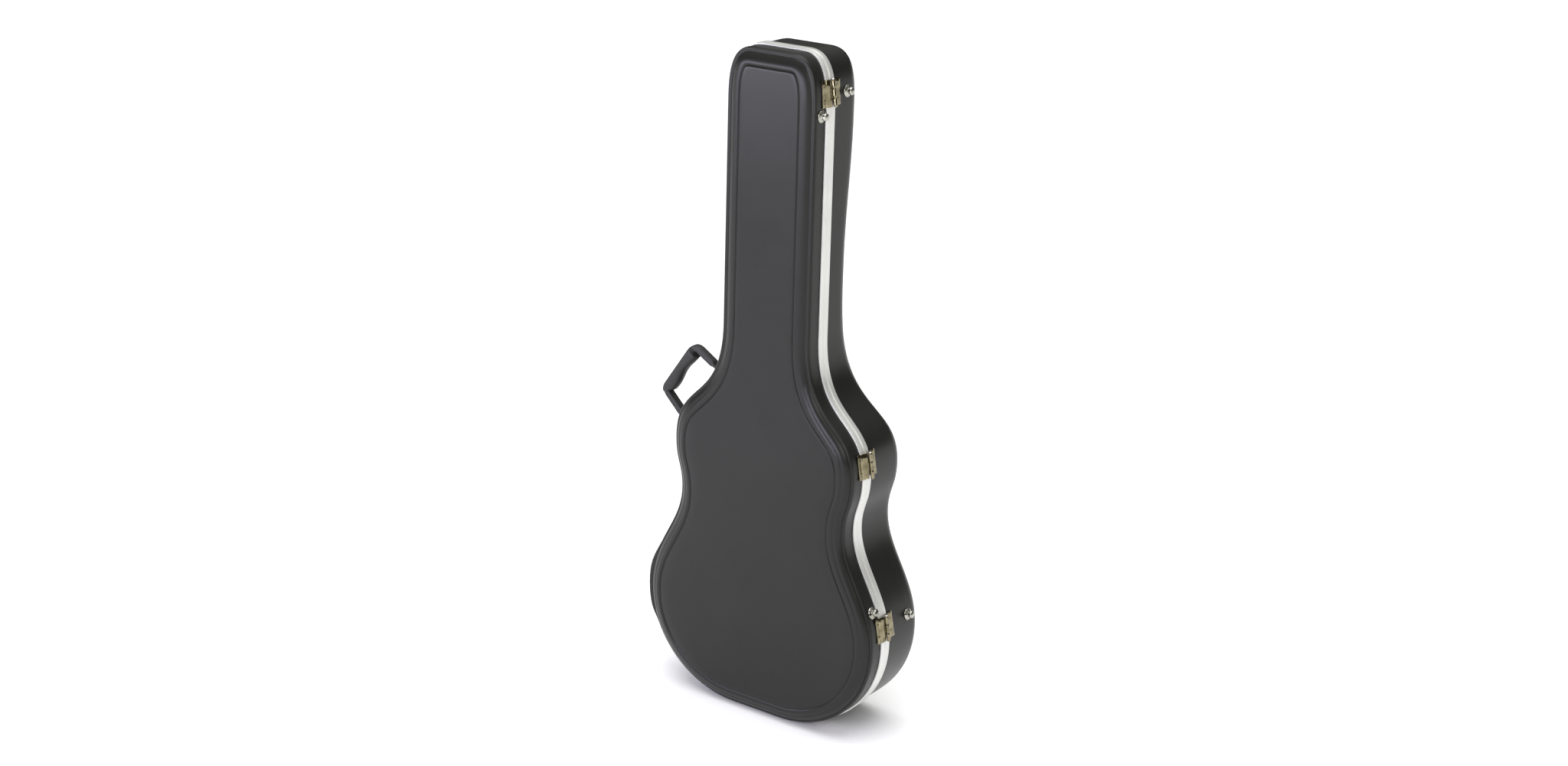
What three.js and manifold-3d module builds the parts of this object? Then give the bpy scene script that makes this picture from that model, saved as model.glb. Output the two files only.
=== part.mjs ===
// A moulded guitar case: two shells with metal rails, hinged on one straight slanting axis,
// draw latches and a carrying handle on the other side, and a plush interior.
// Millimetres. +Z runs up the length of the case, the lid faces -Y, and the hinges are on +X.
// The origin is at the standing end, in the plane of symmetry and in the parting plane.
import * as THREE from "three";
import { mergeVertices } from "three/addons/utils/BufferGeometryUtils.js";
import Module from "manifold-3d";

const wasm = await Module();
wasm.setup();

// ---- driving dimensions ----

const LENGTH = 1070;
const STANDING_FLAT = 45; // half width of the flat at the standing end
const LOWER_BOUT = { halfWidth: 217.9, z: 166 };
const WAIST = { halfWidth: 158.3, z: 348 };
const UPPER_BOUT = { halfWidth: 171.7, z: 431 };
const NECK_ROOT = { halfWidth: 82.8, z: 639 };
const NECK_TOP = { halfWidth: 82.3, z: 989 };
const HEAD_FLAT = 36; // half width of the flat at the head end

const GAP = 0.3; // clearance between touching pieces
const SHELL_INSET = 2.5; // the rails stand this far proud of the shells
const SHELL_WALL = 2.6;
const RAIL_HALF_GAP = 0.15;
const RAIL_WIDTH = 11;
const RAIL_LEG = 2.2;
const RAIL_WEB = 1.6;
const LID_WALL = 31; // depth of the lid's straight wall
const LID_LEDGE = 35;
const LID_CROWN_NECK = 42;
const LID_CROWN_BODY = 46;
const PANEL_INSET = 28.5; // line of the raised front panel
const BASE_BODY_DEPTH = 106;
const BASE_NECK_DEPTH = 69;
const BASE_HEAD_DEPTH = 82;
const BASE_EDGE_RADIUS = 25;

const LINER_INSET = 7.2;
const BASE_LINER_WALL = 12;
const LID_LINER_WALL = 7;

const HINGE_TOP = { x: 87.5, z: 1010.5 }; // two points on the lid's axis
const HINGE_LOW = { x: 220.2, z: 197 };
const KNUCKLE_RADIUS = 3;
const KNUCKLE_BORE = 1.7;
const PIN_RADIUS = 1.4;

const SPINE_LOW = 100; // ends of the centre line that the panels rise to
const SPINE_HIGH = 1015;

// ---- colours and finishes ----

const finish = (color, roughness, metalness) =>
  new THREE.MeshStandardMaterial({ color, roughness, metalness });
const moulding = finish(0x3b3c3d, 0.5, 0);
const railMetal = finish(0xdcdcd8, 0.3, 1);
const hingeMetal = finish(0xb9a873, 0.3, 1);
const chrome = finish(0xd8dade, 0.12, 1);
const plush = finish(0x1d2126, 0.95, 0);
const gripPlastic = finish(0x2f3031, 0.55, 0);

// ---- solids ----

function toSolid(geometry) {
  const bare = geometry.clone();
  bare.deleteAttribute("normal");
  bare.deleteAttribute("uv");
  const merged = mergeVertices(bare, 1e-4);
  return new wasm.Manifold(
    new wasm.Mesh({
      numProp: 3,
      vertProperties: merged.attributes.position.array,
      triVerts: new Uint32Array(merged.index.array),
    }),
  );
}

function toGeometry(solid) {
  const mesh = solid.getMesh();
  const geometry = new THREE.BufferGeometry();
  geometry.setAttribute(
    "position",
    new THREE.BufferAttribute(new Float32Array(mesh.vertProperties), 3),
  );
  geometry.setIndex(new THREE.BufferAttribute(new Uint32Array(mesh.triVerts), 1));
  geometry.computeVertexNormals();
  return geometry;
}

const join = (first, ...others) =>
  toGeometry(others.reduce((sum, other) => sum.add(toSolid(other)), toSolid(first)));

const cut = (body, ...tools) =>
  toGeometry(tools.reduce((rest, tool) => rest.subtract(toSolid(tool)), toSolid(body)));

// A box given by its lowest and highest corners.
function boxBetween(low, high) {
  const size = high.map((h, i) => h - low[i]);
  return new THREE.BoxGeometry(...size).translate(
    ...low.map((l, i) => l + size[i] / 2),
  );
}

// A cylinder along Z between two heights.
const rod = (radius, z0, z1, sides = 14) =>
  new THREE.CylinderGeometry(radius, radius, z1 - z0, sides)
    .rotateX(Math.PI / 2)
    .translate(0, 0, (z0 + z1) / 2);

function named(name, geometry, material) {
  const mesh = new THREE.Mesh(geometry, material);
  mesh.name = name;
  return mesh;
}

// ---- outline ----

// Right half of the outline in the parting plane (x, z), from the standing end to the head.
const outline = new THREE.Path();
outline.moveTo(0, 0);
outline.lineTo(STANDING_FLAT, 0);
outline.bezierCurveTo(
  STANDING_FLAT + 97, 0,
  LOWER_BOUT.halfWidth, LOWER_BOUT.z - 93,
  LOWER_BOUT.halfWidth, LOWER_BOUT.z,
);
outline.bezierCurveTo(
  LOWER_BOUT.halfWidth, LOWER_BOUT.z + 80,
  WAIST.halfWidth, WAIST.z - 62,
  WAIST.halfWidth, WAIST.z,
);
outline.bezierCurveTo(
  WAIST.halfWidth, WAIST.z + 37,
  UPPER_BOUT.halfWidth, UPPER_BOUT.z - 42,
  UPPER_BOUT.halfWidth, UPPER_BOUT.z,
);
outline.bezierCurveTo(
  UPPER_BOUT.halfWidth, UPPER_BOUT.z + 101,
  NECK_ROOT.halfWidth, NECK_ROOT.z - 139,
  NECK_ROOT.halfWidth, NECK_ROOT.z,
);
outline.lineTo(NECK_TOP.halfWidth, NECK_TOP.z);
outline.bezierCurveTo(
  NECK_TOP.halfWidth, NECK_TOP.z + 40,
  HEAD_FLAT + 40, LENGTH,
  HEAD_FLAT, LENGTH,
);
outline.lineTo(0, LENGTH);
const DIVISIONS = [1, 8, 6, 3, 7, 5, 5, 1];

// Point and outward normal at a fraction t of one curve of the outline.
function stationOn(curve, t) {
  const point = curve.getPoint(t);
  const tangent = curve.getTangent(t);
  return { x: point.x, z: point.y, nx: tangent.y, nz: -tangent.x };
}

// All stations round the case: up the right side, then down the left.
function allStations() {
  const right = [{ x: 0, z: 0, nx: 0, nz: -1 }];
  outline.curves.forEach((curve, i) => {
    for (let k = 1; k <= DIVISIONS[i]; k++) right.push(stationOn(curve, k / DIVISIONS[i]));
  });
  const left = right
    .slice(1, -1)
    .reverse()
    .map(({ x, z, nx, nz }) => ({ x: -x, z, nx: -nx, nz }));
  return [...right, ...left];
}
const stations = allStations();

// The station on the right side at height z, found by halving.
function stationAt(z) {
  const curve = outline.curves.find(
    (c) => c.getPoint(0).y <= z && z <= c.getPoint(1).y && c.getPoint(1).y > c.getPoint(0).y,
  );
  let low = 0;
  let high = 1;
  for (let i = 0; i < 30; i++) {
    const middle = (low + high) / 2;
    if (curve.getPoint(middle).y < z) low = middle;
    else high = middle;
  }
  return stationOn(curve, low);
}

// ---- form of the shells ----

const ease = (t) => (1 - Math.cos(Math.PI * THREE.MathUtils.clamp(t, 0, 1))) / 2;

const baseDepth = (z) =>
  BASE_BODY_DEPTH +
  (BASE_NECK_DEPTH - BASE_BODY_DEPTH) * ease((z - 420) / 280) +
  (BASE_HEAD_DEPTH - BASE_NECK_DEPTH) * ease((z - 740) / 230);

const lidCrown = (z) =>
  LID_CROWN_BODY + (LID_CROWN_NECK - LID_CROWN_BODY) * ease((z - 430) / 200);

const PANEL_RISE = 3; // the body of the lid domes by this much towards its centre
const panelRise = (z) => PANEL_RISE * (1 - ease((z - 430) / 160));

// The moulded swelling under the lower latch, on the latch side only.
const LATCH_SWELL = 5.5;
const swell = ({ x, z }) =>
  x > 0 ? 0 : LATCH_SWELL * ease((z - 95) / 35) * ease((250 - z) / 60);

// A ring of points at an inset from the outline and a depth from the parting plane.
// inset and depth are numbers, or functions of the station.
function ring(inset, depth, side) {
  return stations.map((s) => {
    const i = typeof inset === "function" ? inset(s) : inset;
    const d = typeof depth === "function" ? depth(s) : depth;
    return [s.x - s.nx * i, side * d, s.z - s.nz * i];
  });
}

// The ring shrunk to the centre line of the case.
const spine = (depth, side) =>
  stations.map(({ z }) => {
    const height = THREE.MathUtils.clamp(z, SPINE_LOW, SPINE_HIGH);
    return [0, side * depth({ z: height }), height];
  });

// Skins a closed solid over a list of rings; the first and last are spines.
function loft(rings, side) {
  const count = stations.length;
  const corners = rings.flat();
  const faces = [];
  for (let r = 0; r < rings.length - 1; r++)
    for (let i = 0; i < count; i++) {
      const a = r * count + i;
      const b = r * count + ((i + 1) % count);
      faces.push([a, b, b + count], [a, b + count, a + count]);
    }
  const same = (p, q) => corners[p].every((v, k) => Math.abs(v - corners[q][k]) < 1e-6);
  const kept = faces.filter(([a, b, c]) => !same(a, b) && !same(b, c) && !same(a, c));
  const geometry = new THREE.BufferGeometry();
  geometry.setAttribute(
    "position",
    new THREE.BufferAttribute(new Float32Array(corners.flat()), 3),
  );
  geometry.setIndex(kept.flatMap(([a, b, c]) => (side > 0 ? [a, b, c] : [a, c, b])));
  return mergeVertices(geometry, 1e-4);
}

const RIM = RAIL_HALF_GAP + RAIL_WEB + GAP; // where a shell's edge sits in its rail

// The base's section as pairs of inset and depth, from the rim round a 90 degree edge.
// swelling is 1 for the outer skin, which carries the latch pad, and 0 for the inner one.
function baseShellForm(inset, drop, swelling) {
  const flare = (extra, share) => (s) => inset + extra - swell(s) * share * swelling;
  const depth = (rise) => (s) => baseDepth(s.z) - drop - rise;
  const radius = BASE_EDGE_RADIUS;
  return [
    [inset, RIM],
    ...(swelling ? [[inset, RAIL_WIDTH + GAP]] : []),
    [flare(0, 1), RAIL_WIDTH + GAP],
    [flare(0, 1), depth(radius)],
    [flare(radius * 0.134, 0.8), depth(radius * 0.5)],
    [flare(radius * 0.5, 0.3), depth(radius * 0.134)],
    [inset + radius, depth(0)],
  ];
}

function baseShell() {
  const outer = baseShellForm(SHELL_INSET, 0, 1).reverse();
  const inner = baseShellForm(SHELL_INSET + SHELL_WALL, SHELL_WALL, 0);
  const rings = [...outer, ...inner].map(([i, d]) => ring(i, d, 1));
  const depth = ({ z }) => baseDepth(z);
  const solid = loft(
    [spine(depth, 1), ...rings, spine((s) => depth(s) - SHELL_WALL, 1)],
    1,
  );
  return join(solid, ...standingPads());
}

// Two moulded pads that make the curved end of the base stand on a floor.
function standingPads() {
  return [-1, 1].map((sideways) =>
    boxBetween(
      [Math.min(sideways * 30, sideways * 66), 24, 0],
      [Math.max(sideways * 30, sideways * 66), 72, 7],
    ),
  );
}

// The lid's section: rim, wall, ledge and the shoulder of the crown.
function lidShellForm(inset, drop, swelling) {
  const wall = (s) => inset - swell(s) * swelling;
  const crown = (fall) => (s) => lidCrown(s.z) - drop - fall;
  return [
    [inset, RIM],
    ...(swelling ? [[inset, RAIL_WIDTH + GAP]] : []),
    [wall, RAIL_WIDTH + GAP],
    [wall, LID_WALL - drop],
    [(s) => inset + 3 - swell(s) * 0.8 * swelling, LID_LEDGE - drop],
    [inset + 9.5, crown(5.5)],
    [inset + 16, crown(1.5)],
    [PANEL_INSET + inset - SHELL_INSET, crown(0)],
  ];
}

function lidShell() {
  const outer = lidShellForm(SHELL_INSET, 0, 1).reverse();
  const inner = lidShellForm(SHELL_INSET + SHELL_WALL, SHELL_WALL, 0);
  const rings = [...outer, ...inner].map(([i, d]) => ring(i, d, -1));
  const depth = ({ z }) => lidCrown(z) + panelRise(z);
  return loft(
    [spine(depth, -1), ...rings, spine((s) => depth(s) - SHELL_WALL, -1)],
    -1,
  );
}

// One rail: an outer leg over the shell's wall and a web across the shell's edge.
function rail(side) {
  const web = RAIL_HALF_GAP + RAIL_WEB;
  const inner = SHELL_INSET + SHELL_WALL + GAP;
  const section = [
    [0, RAIL_WIDTH],
    [0, RAIL_HALF_GAP],
    [inner, RAIL_HALF_GAP],
    [inner, web],
    [RAIL_LEG, web],
    [RAIL_LEG, RAIL_WIDTH],
  ];
  const rings = section.map(([inset, depth]) => ring(inset, depth, side));
  return loft([...rings, rings[0]], side);
}

// A foam liner covered in plush: a tub that lies just inside a shell.
// edge is how deep its outer corner is cut back, to clear the shell's rounded edge.
function liner(side, wall, floor, edge, outerDepth) {
  const top = 1;
  const inner = LINER_INSET + wall;
  const slope = 10; // the floor's corner is filled by a slope of this size
  const depth = (s) => outerDepth(s) - SHELL_WALL - 1;
  const flooring = (s) => depth(s) - floor;
  const rings = [
    ring(PANEL_INSET + SHELL_WALL + 1, depth, side),
    ring(LINER_INSET + 1, (s) => depth(s) - edge, side),
    ring(LINER_INSET, top, side),
    ring(inner, top, side),
    ring(inner, (s) => flooring(s) - slope, side),
    ring(inner + slope, flooring, side),
  ];
  return loft([spine(depth, side), ...rings, spine(flooring, side)], side);
}

// ---- fittings on the walls ----

// A group on the wall at height z: local X points out, Y towards the base, Z along the wall.
function wallGroup(z, side, lift = 0) {
  const s = stationAt(z);
  const group = new THREE.Group();
  group.position.set(side * (s.x + s.nx * lift), 0, s.z + s.nz * lift);
  group.rotation.y = Math.atan2(-s.nz, side * s.nx);
  return group;
}

const hingeTilt = Math.atan2(HINGE_LOW.x - HINGE_TOP.x, HINGE_TOP.z - HINGE_LOW.z);

// The group at the point of the lid's axis nearest to the wall at height z. Its Z is the axis.
function hingeGroup(z) {
  const s = stationAt(z);
  const out = new THREE.Vector2(Math.cos(hingeTilt), Math.sin(hingeTilt));
  const offset = new THREE.Vector2(HINGE_TOP.x - s.x, HINGE_TOP.z - s.z).dot(out);
  const group = new THREE.Group();
  group.position.set(s.x + out.x * offset, 0, s.z + out.y * offset);
  group.rotation.y = -hingeTilt;
  return { group, offset, twist: Math.atan2(-s.nz, s.nx) + hingeTilt };
}

const LEAF = { thickness: 1.3, near: 11.6, farBase: 25, farLid: 20.5, halfLength: 20 };
const KNUCKLE_SPLIT = 7; // half length of the lid's knuckle, between the base's two

// One leaf of a hinge: a plate on the wall, a riser past the rail and its knuckles.
function hingeLeaf(side, offset, twist) {
  const ordered = (a, b) => [Math.min(a * side, b * side), Math.max(a * side, b * side)];
  const wallBox = (x0, x1, y0, y1, z0, z1) => {
    const [low, high] = ordered(y0, y1);
    return boxBetween([x0, low, z0], [x1, high, z1])
      .rotateY(twist)
      .translate(-offset, 0, 0);
  };
  const seat = -SHELL_INSET + GAP;
  const far = side > 0 ? LEAF.farBase : LEAF.farLid;
  const plate = wallBox(
    seat, seat + LEAF.thickness, LEAF.near, far, -LEAF.halfLength, LEAF.halfLength,
  );
  const spans =
    side > 0
      ? [
          [-LEAF.halfLength, -KNUCKLE_SPLIT - GAP],
          [KNUCKLE_SPLIT + GAP, LEAF.halfLength],
        ]
      : [[-KNUCKLE_SPLIT, KNUCKLE_SPLIT]];
  const pieces = spans.flatMap(([z0, z1]) => {
    const [low, high] = ordered(KNUCKLE_BORE + 0.6, LEAF.near + 1.2);
    const half = LEAF.thickness / 2;
    return [
      rod(KNUCKLE_RADIUS, z0, z1),
      boxBetween([-half, low, z0], [half, high, z1]),
      wallBox(seat, offset, LEAF.near, LEAF.near + 1.3, z0, z1),
    ];
  });
  const bore = rod(KNUCKLE_BORE, -2 * LEAF.halfLength, 2 * LEAF.halfLength);
  return cut(join(plate, ...pieces), bore);
}

function hinge(place, z, base, lid) {
  const { group, offset, twist } = hingeGroup(z);
  const pin = join(
    rod(PIN_RADIUS, -LEAF.halfLength - 1, LEAF.halfLength + 0.6, 10),
    rod(KNUCKLE_RADIUS - 0.6, LEAF.halfLength + 0.4, LEAF.halfLength + 1.8, 10),
  );
  const lidSide = group.clone();
  group.add(named(`hinge_base_leaf_${place}`, hingeLeaf(1, offset, twist), hingeMetal));
  group.add(named(`hinge_pin_${place}`, pin, chrome));
  lidSide.add(named(`hinge_lid_leaf_${place}`, hingeLeaf(-1, offset, twist), hingeMetal));
  base.add(group);
  lid.add(lidSide);
}

// A chrome glide: a flange against the wall and a domed foot, turned about local X.
function glide(name, z, y) {
  const profile = [
    [0, 0],
    [9.4, 0],
    [9.4, 1.2],
    [6.6, 2.2],
    [6.9, 5],
    [6, 8.4],
    [3.6, 10.6],
    [0, 11.2],
  ].map(([r, h]) => new THREE.Vector2(r, h));
  const mesh = named(name, new THREE.LatheGeometry(profile, 18), chrome);
  mesh.rotation.z = -Math.PI / 2;
  mesh.position.set(-SHELL_INSET + GAP, y, 0);
  const group = wallGroup(z, 1);
  group.add(mesh);
  return group;
}

// ---- draw latches ----

const LATCH = {
  plateTop: -SHELL_INSET + GAP + 1.2,
  pivot: { x: 3.2, y: 17.5 },
  hook: { x: 3.6, y: 26.5 }, // the bail's bar, in the lever
  tip: -17, // the bail's far bar
  halfWidth: 15.6,
  bar: 2.4,
};

function latchPlate() {
  const seat = -SHELL_INSET + GAP;
  const ears = [-1, 1].map((s) =>
    boxBetween(
      [seat, LATCH.pivot.y - 4, Math.min(s * 10.2, s * 12)],
      [LATCH.pivot.x + 3, LATCH.pivot.y + 3.4, Math.max(s * 10.2, s * 12)],
    ),
  );
  const plate = boxBetween([seat, 11.8, -14], [LATCH.plateTop, 50, 14]);
  const bore = rod(PIN_RADIUS + 0.2, -20, 20, 12).translate(LATCH.pivot.x, LATCH.pivot.y, 0);
  return cut(join(plate, ...ears), bore);
}

function latchPin() {
  return rod(PIN_RADIUS, -12.6, 12.6, 10).translate(LATCH.pivot.x, LATCH.pivot.y, 0);
}

const LOCK = { y: 35.5, radius: 3.6, sink: 0.6 };

// The plug in the lever of the locking latch, along local X.
function lockPlug() {
  const face = LATCH.hook.x + 3.2;
  const plug = rod(LOCK.radius, face - 1.8 - LOCK.sink, face + LOCK.sink, 16);
  const keyway = boxBetween([-0.6, -2.4, face - 0.6], [0.6, 2.4, face + 2]);
  return cut(plug, keyway).rotateY(Math.PI / 2).translate(0, LOCK.y, 0);
}

// The lever: two barrels and a plate with a lifted finger tip.
function latchLever(locking) {
  const { pivot, hook } = LATCH;
  const half = 9.6;
  const barrels = [pivot, hook].map(({ x, y }) => rod(3.4, -half, half).translate(x, y, 0));
  const bridge = boxBetween([hook.x, pivot.y, -half], [hook.x + 3.2, hook.y, half]);
  const plate = boxBetween([hook.x + 1.4, hook.y, -half], [hook.x + 3.2, 44, half]);
  const tip = boxBetween([0, 0, -half], [1.8, 7, half])
    .rotateZ(-0.5)
    .translate(hook.x + 1.5, 43, 0);
  const bores = [
    rod(PIN_RADIUS + 0.3, -20, 20, 12).translate(pivot.x, pivot.y, 0),
    rod(LATCH.bar * 0.71 + 0.4, -20, 20, 12).translate(hook.x, hook.y, 0),
  ];
  if (locking) {
    const hole = rod(LOCK.radius + GAP, 0, 20, 16).rotateY(Math.PI / 2);
    bores.push(hole.translate(0, LOCK.y, 0));
  }
  return cut(join(...barrels, bridge, plate, tip), ...bores);
}

// The bail: a closed loop of square bar from the lever to the strike.
function latchBail() {
  const { hook, tip, halfWidth, bar } = LATCH;
  const loop = new THREE.Shape();
  loop.moveTo(-halfWidth, hook.y + bar / 2);
  loop.lineTo(-halfWidth, tip + 1);
  loop.lineTo(-halfWidth + 2.5, tip - bar / 2);
  loop.lineTo(halfWidth - 2.5, tip - bar / 2);
  loop.lineTo(halfWidth, tip + 1);
  loop.lineTo(halfWidth, hook.y + bar / 2);
  const hole = new THREE.Path();
  hole.moveTo(-halfWidth + bar, hook.y - bar / 2);
  hole.lineTo(halfWidth - bar, hook.y - bar / 2);
  hole.lineTo(halfWidth - bar, tip + bar / 2);
  hole.lineTo(-halfWidth + bar, tip + bar / 2);
  loop.holes.push(hole);
  return new THREE.ExtrudeGeometry(loop, { depth: bar, bevelEnabled: false })
    .translate(0, 0, -bar / 2)
    .rotateY(-Math.PI / 2)
    .translate(hook.x, 0, 0);
}

// The strike on the lid: a plate with a low lip that the bail's far bar lies over.
function latchStrike() {
  const seat = -SHELL_INSET + GAP;
  const plate = boxBetween([seat, -29, -13], [LATCH.plateTop, -11.8, 13]);
  const lipTop = LATCH.hook.x - LATCH.bar / 2 - GAP;
  const lip = boxBetween([seat, -20, -10], [lipTop, -12.2, 10]);
  return join(plate, lip);
}

// One latch at height z. lift raises it with the wall; the locking one has a key plug.
function latch(place, z, base, lid, lift = 0, locking = false) {
  const fixed = wallGroup(z, -1, lift);
  fixed.add(named(`latch_plate_${place}`, latchPlate(), hingeMetal));
  fixed.add(named(`latch_pin_${place}`, latchPin(), chrome));
  fixed.add(named(`latch_lever_${place}`, latchLever(locking), chrome));
  if (locking) fixed.add(named("lock_plug", lockPlug(), chrome));
  fixed.add(named(`latch_bail_${place}`, latchBail(), chrome));
  base.add(fixed);
  const moving = wallGroup(z, -1, lift);
  moving.add(named(`latch_strike_${place}`, latchStrike(), hingeMetal));
  lid.add(moving);
}

// ---- handle ----

const HANDLE_Y = 20;
const HANDLE = {
  upperPivot: new THREE.Vector2(-125.5, 537.5), // (x, z) of the two pins
  lowerPivot: new THREE.Vector2(-186, 437),
  upperCorner: new THREE.Vector2(-173.5, 566.5),
  lowerCorner: new THREE.Vector2(-232, 482.5),
  cornerRadius: 13,
  armThickness: 11,
  armWidth: 14,
  neckThickness: 5, // each arm thins to this between the bracket's ears
  neckLength: 9,
  neckFlare: 5,
  gripThickness: 20,
  gripWidth: 24,
  eyeRadius: 5.2,
  eyeHalfLength: 4.2,
};
const handleLine = HANDLE.upperPivot.clone().sub(HANDLE.lowerPivot);
const handleTilt = Math.atan2(handleLine.x, handleLine.y);

// Turns a rod made along Z onto the handle's axis, at one of its pivots.
const onHandleAxis = (geometry, pivot) =>
  geometry.rotateY(handleTilt).translate(pivot.x, HANDLE_Y, pivot.y);

// The point at a distance from one corner of the handle towards another.
const towards = (from, to, distance) =>
  from.clone().add(to.clone().sub(from).setLength(distance));

// Stands an outline drawn in (x, z) upright, with its thickness centred on the handle.
const upright = (shape, width) =>
  new THREE.ExtrudeGeometry(shape, { depth: width, bevelEnabled: false, curveSegments: 6 })
    .rotateX(Math.PI / 2)
    .translate(0, HANDLE_Y + width / 2, 0);

// The middle line of the handle from pin to pin, with round corners.
function handleLinePoints() {
  const { lowerPivot, lowerCorner, upperCorner, upperPivot, cornerRadius } = HANDLE;
  const { neckLength, neckFlare } = HANDLE;
  const path = new THREE.Path();
  const lineTo = (point) => path.lineTo(point.x, point.y);
  path.moveTo(lowerPivot.x, lowerPivot.y);
  lineTo(towards(lowerPivot, lowerCorner, neckLength));
  lineTo(towards(lowerPivot, lowerCorner, neckLength + neckFlare));
  const corners = [
    [lowerPivot, lowerCorner, upperCorner],
    [lowerCorner, upperCorner, upperPivot],
  ];
  corners.forEach(([before, corner, after]) => {
    const entry = towards(corner, before, cornerRadius);
    const exit = towards(corner, after, cornerRadius);
    lineTo(entry);
    path.quadraticCurveTo(corner.x, corner.y, exit.x, exit.y);
  });
  lineTo(towards(upperPivot, upperCorner, neckLength + neckFlare));
  lineTo(towards(upperPivot, upperCorner, neckLength));
  lineTo(upperPivot);
  return path.getPoints(4);
}

// The strap's thickness at a point of the middle line.
function strapThickness(point) {
  const { lowerPivot, upperPivot, armThickness, neckThickness, neckLength, neckFlare } = HANDLE;
  const reach = Math.min(point.distanceTo(lowerPivot), point.distanceTo(upperPivot));
  const share = THREE.MathUtils.clamp((reach - neckLength) / neckFlare, 0, 1);
  return THREE.MathUtils.lerp(neckThickness, armThickness, share);
}

// The moulded handle: a bent strap with an oval grip and an eye at each end.
function handleBody() {
  const points = handleLinePoints();
  const side = (sign) =>
    points.map((p, i) => {
      const before = points[Math.max(i - 1, 0)];
      const after = points[Math.min(i + 1, points.length - 1)];
      const along = after.clone().sub(before).normalize();
      const half = (sign * strapThickness(p)) / 2;
      return new THREE.Vector2(p.x + half * along.y, p.y - half * along.x);
    });
  const strap = upright(new THREE.Shape([...side(1), ...side(-1).reverse()]), HANDLE.armWidth);
  const pivots = [HANDLE.lowerPivot, HANDLE.upperPivot];
  const eye = (radius, half) =>
    pivots.map((pivot) => onHandleAxis(rod(radius, -half, half, 12), pivot));
  return cut(
    join(strap, handleGrip(), ...eye(HANDLE.eyeRadius, HANDLE.eyeHalfLength)),
    ...eye(PIN_RADIUS + GAP, 2 * HANDLE.eyeHalfLength),
  );
}

// The grip: an oval bar between the two corners, flush with the strap on its outer side.
function handleGrip() {
  const { lowerCorner, upperCorner, cornerRadius, gripThickness, gripWidth } = HANDLE;
  const inward = (gripThickness - HANDLE.armThickness) / 2;
  const oval = new THREE.Shape();
  oval.absellipse(inward, 0, gripThickness / 2, gripWidth / 2, 0, 2 * Math.PI);
  const from = towards(lowerCorner, upperCorner, cornerRadius);
  const to = towards(upperCorner, lowerCorner, cornerRadius);
  const length = from.distanceTo(to);
  const lean = Math.atan2(to.x - from.x, to.y - from.y);
  return new THREE.ExtrudeGeometry(oval, {
    depth: length,
    bevelEnabled: false,
    curveSegments: 7,
  })
    .rotateY(lean)
    .translate(from.x, HANDLE_Y, from.y);
}

const EAR_REACH = 24; // from the pin towards the wall, before the ears are trimmed to it

// A bracket: a plate on the wall and two ears that hold the handle's pin.
// lift raises the plate where the wall behind it is hollow.
function handleBracket(pivot, wallZ, lift) {
  const s = stationAt(wallZ);
  const turn = Math.atan2(-s.nz, -s.nx);
  const onWall = (geometry) => geometry.rotateY(turn).translate(-s.x, 0, s.z);
  const seat = lift - SHELL_INSET + GAP;
  const plate = onWall(boxBetween([seat, 12, -13], [seat + 1.4, 28, 13]));
  const insideWall = onWall(boxBetween([seat - 20, 0, -40], [seat, 60, 40]));
  const inner = HANDLE.eyeHalfLength + GAP;
  const ears = [
    [-inner - 2, -inner],
    [inner, inner + 2],
  ].map(([z0, z1]) => onHandleAxis(boxBetween([-4.2, -5, z0], [EAR_REACH, 5, z1]), pivot));
  const bore = onHandleAxis(rod(PIN_RADIUS + 0.2, -9, 9, 12), pivot);
  return cut(join(plate, ...ears), insideWall, bore);
}

function handleParts(base, handle) {
  const ends = [
    ["lower", HANDLE.lowerPivot, 429, 0],
    ["upper", HANDLE.upperPivot, 529, 1.2],
  ];
  ends.forEach(([place, pivot, wallZ, lift]) => {
    base.add(named(`handle_bracket_${place}`, handleBracket(pivot, wallZ, lift), chrome));
    const pin = onHandleAxis(rod(PIN_RADIUS, -7.2, 7.2, 10), pivot);
    base.add(named(`handle_pin_${place}`, pin, chrome));
  });
  handle.add(named("handle_grip", handleBody(), gripPlastic));
}

// ---- inside ----

const HOLD = {
  cradle: { z: 564, length: 28, halfWidth: 62, top: 6, bottom: 64, notch: 30, notchDepth: 34 },
  box: { low: 600, high: 768, halfWidth: 53, top: 21, bottom: 52.5, wall: 4 },
  flap: { thickness: 4, gap: 0.4, axisX: -55, axisY: 18.7, barrel: 2.4 },
};

function neckCradle() {
  const { z, length, halfWidth, top, bottom, notch, notchDepth } = HOLD.cradle;
  const shape = new THREE.Shape();
  shape.moveTo(-halfWidth + 12, bottom);
  shape.lineTo(-halfWidth, bottom - 16);
  shape.lineTo(-halfWidth, top);
  shape.lineTo(-notch, top);
  shape.lineTo(-notch, top + notchDepth - notch);
  shape.absarc(0, top + notchDepth - notch, notch, Math.PI, 0, true);
  shape.lineTo(notch, top);
  shape.lineTo(halfWidth, top);
  shape.lineTo(halfWidth, bottom - 16);
  shape.lineTo(halfWidth - 12, bottom);
  return new THREE.ExtrudeGeometry(shape, {
    depth: length,
    bevelEnabled: false,
    curveSegments: 10,
  }).translate(0, 0, z);
}

const FLAP_SPLIT = { low: 640, high: 728 }; // the flap's barrel lies between the box's two

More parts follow.
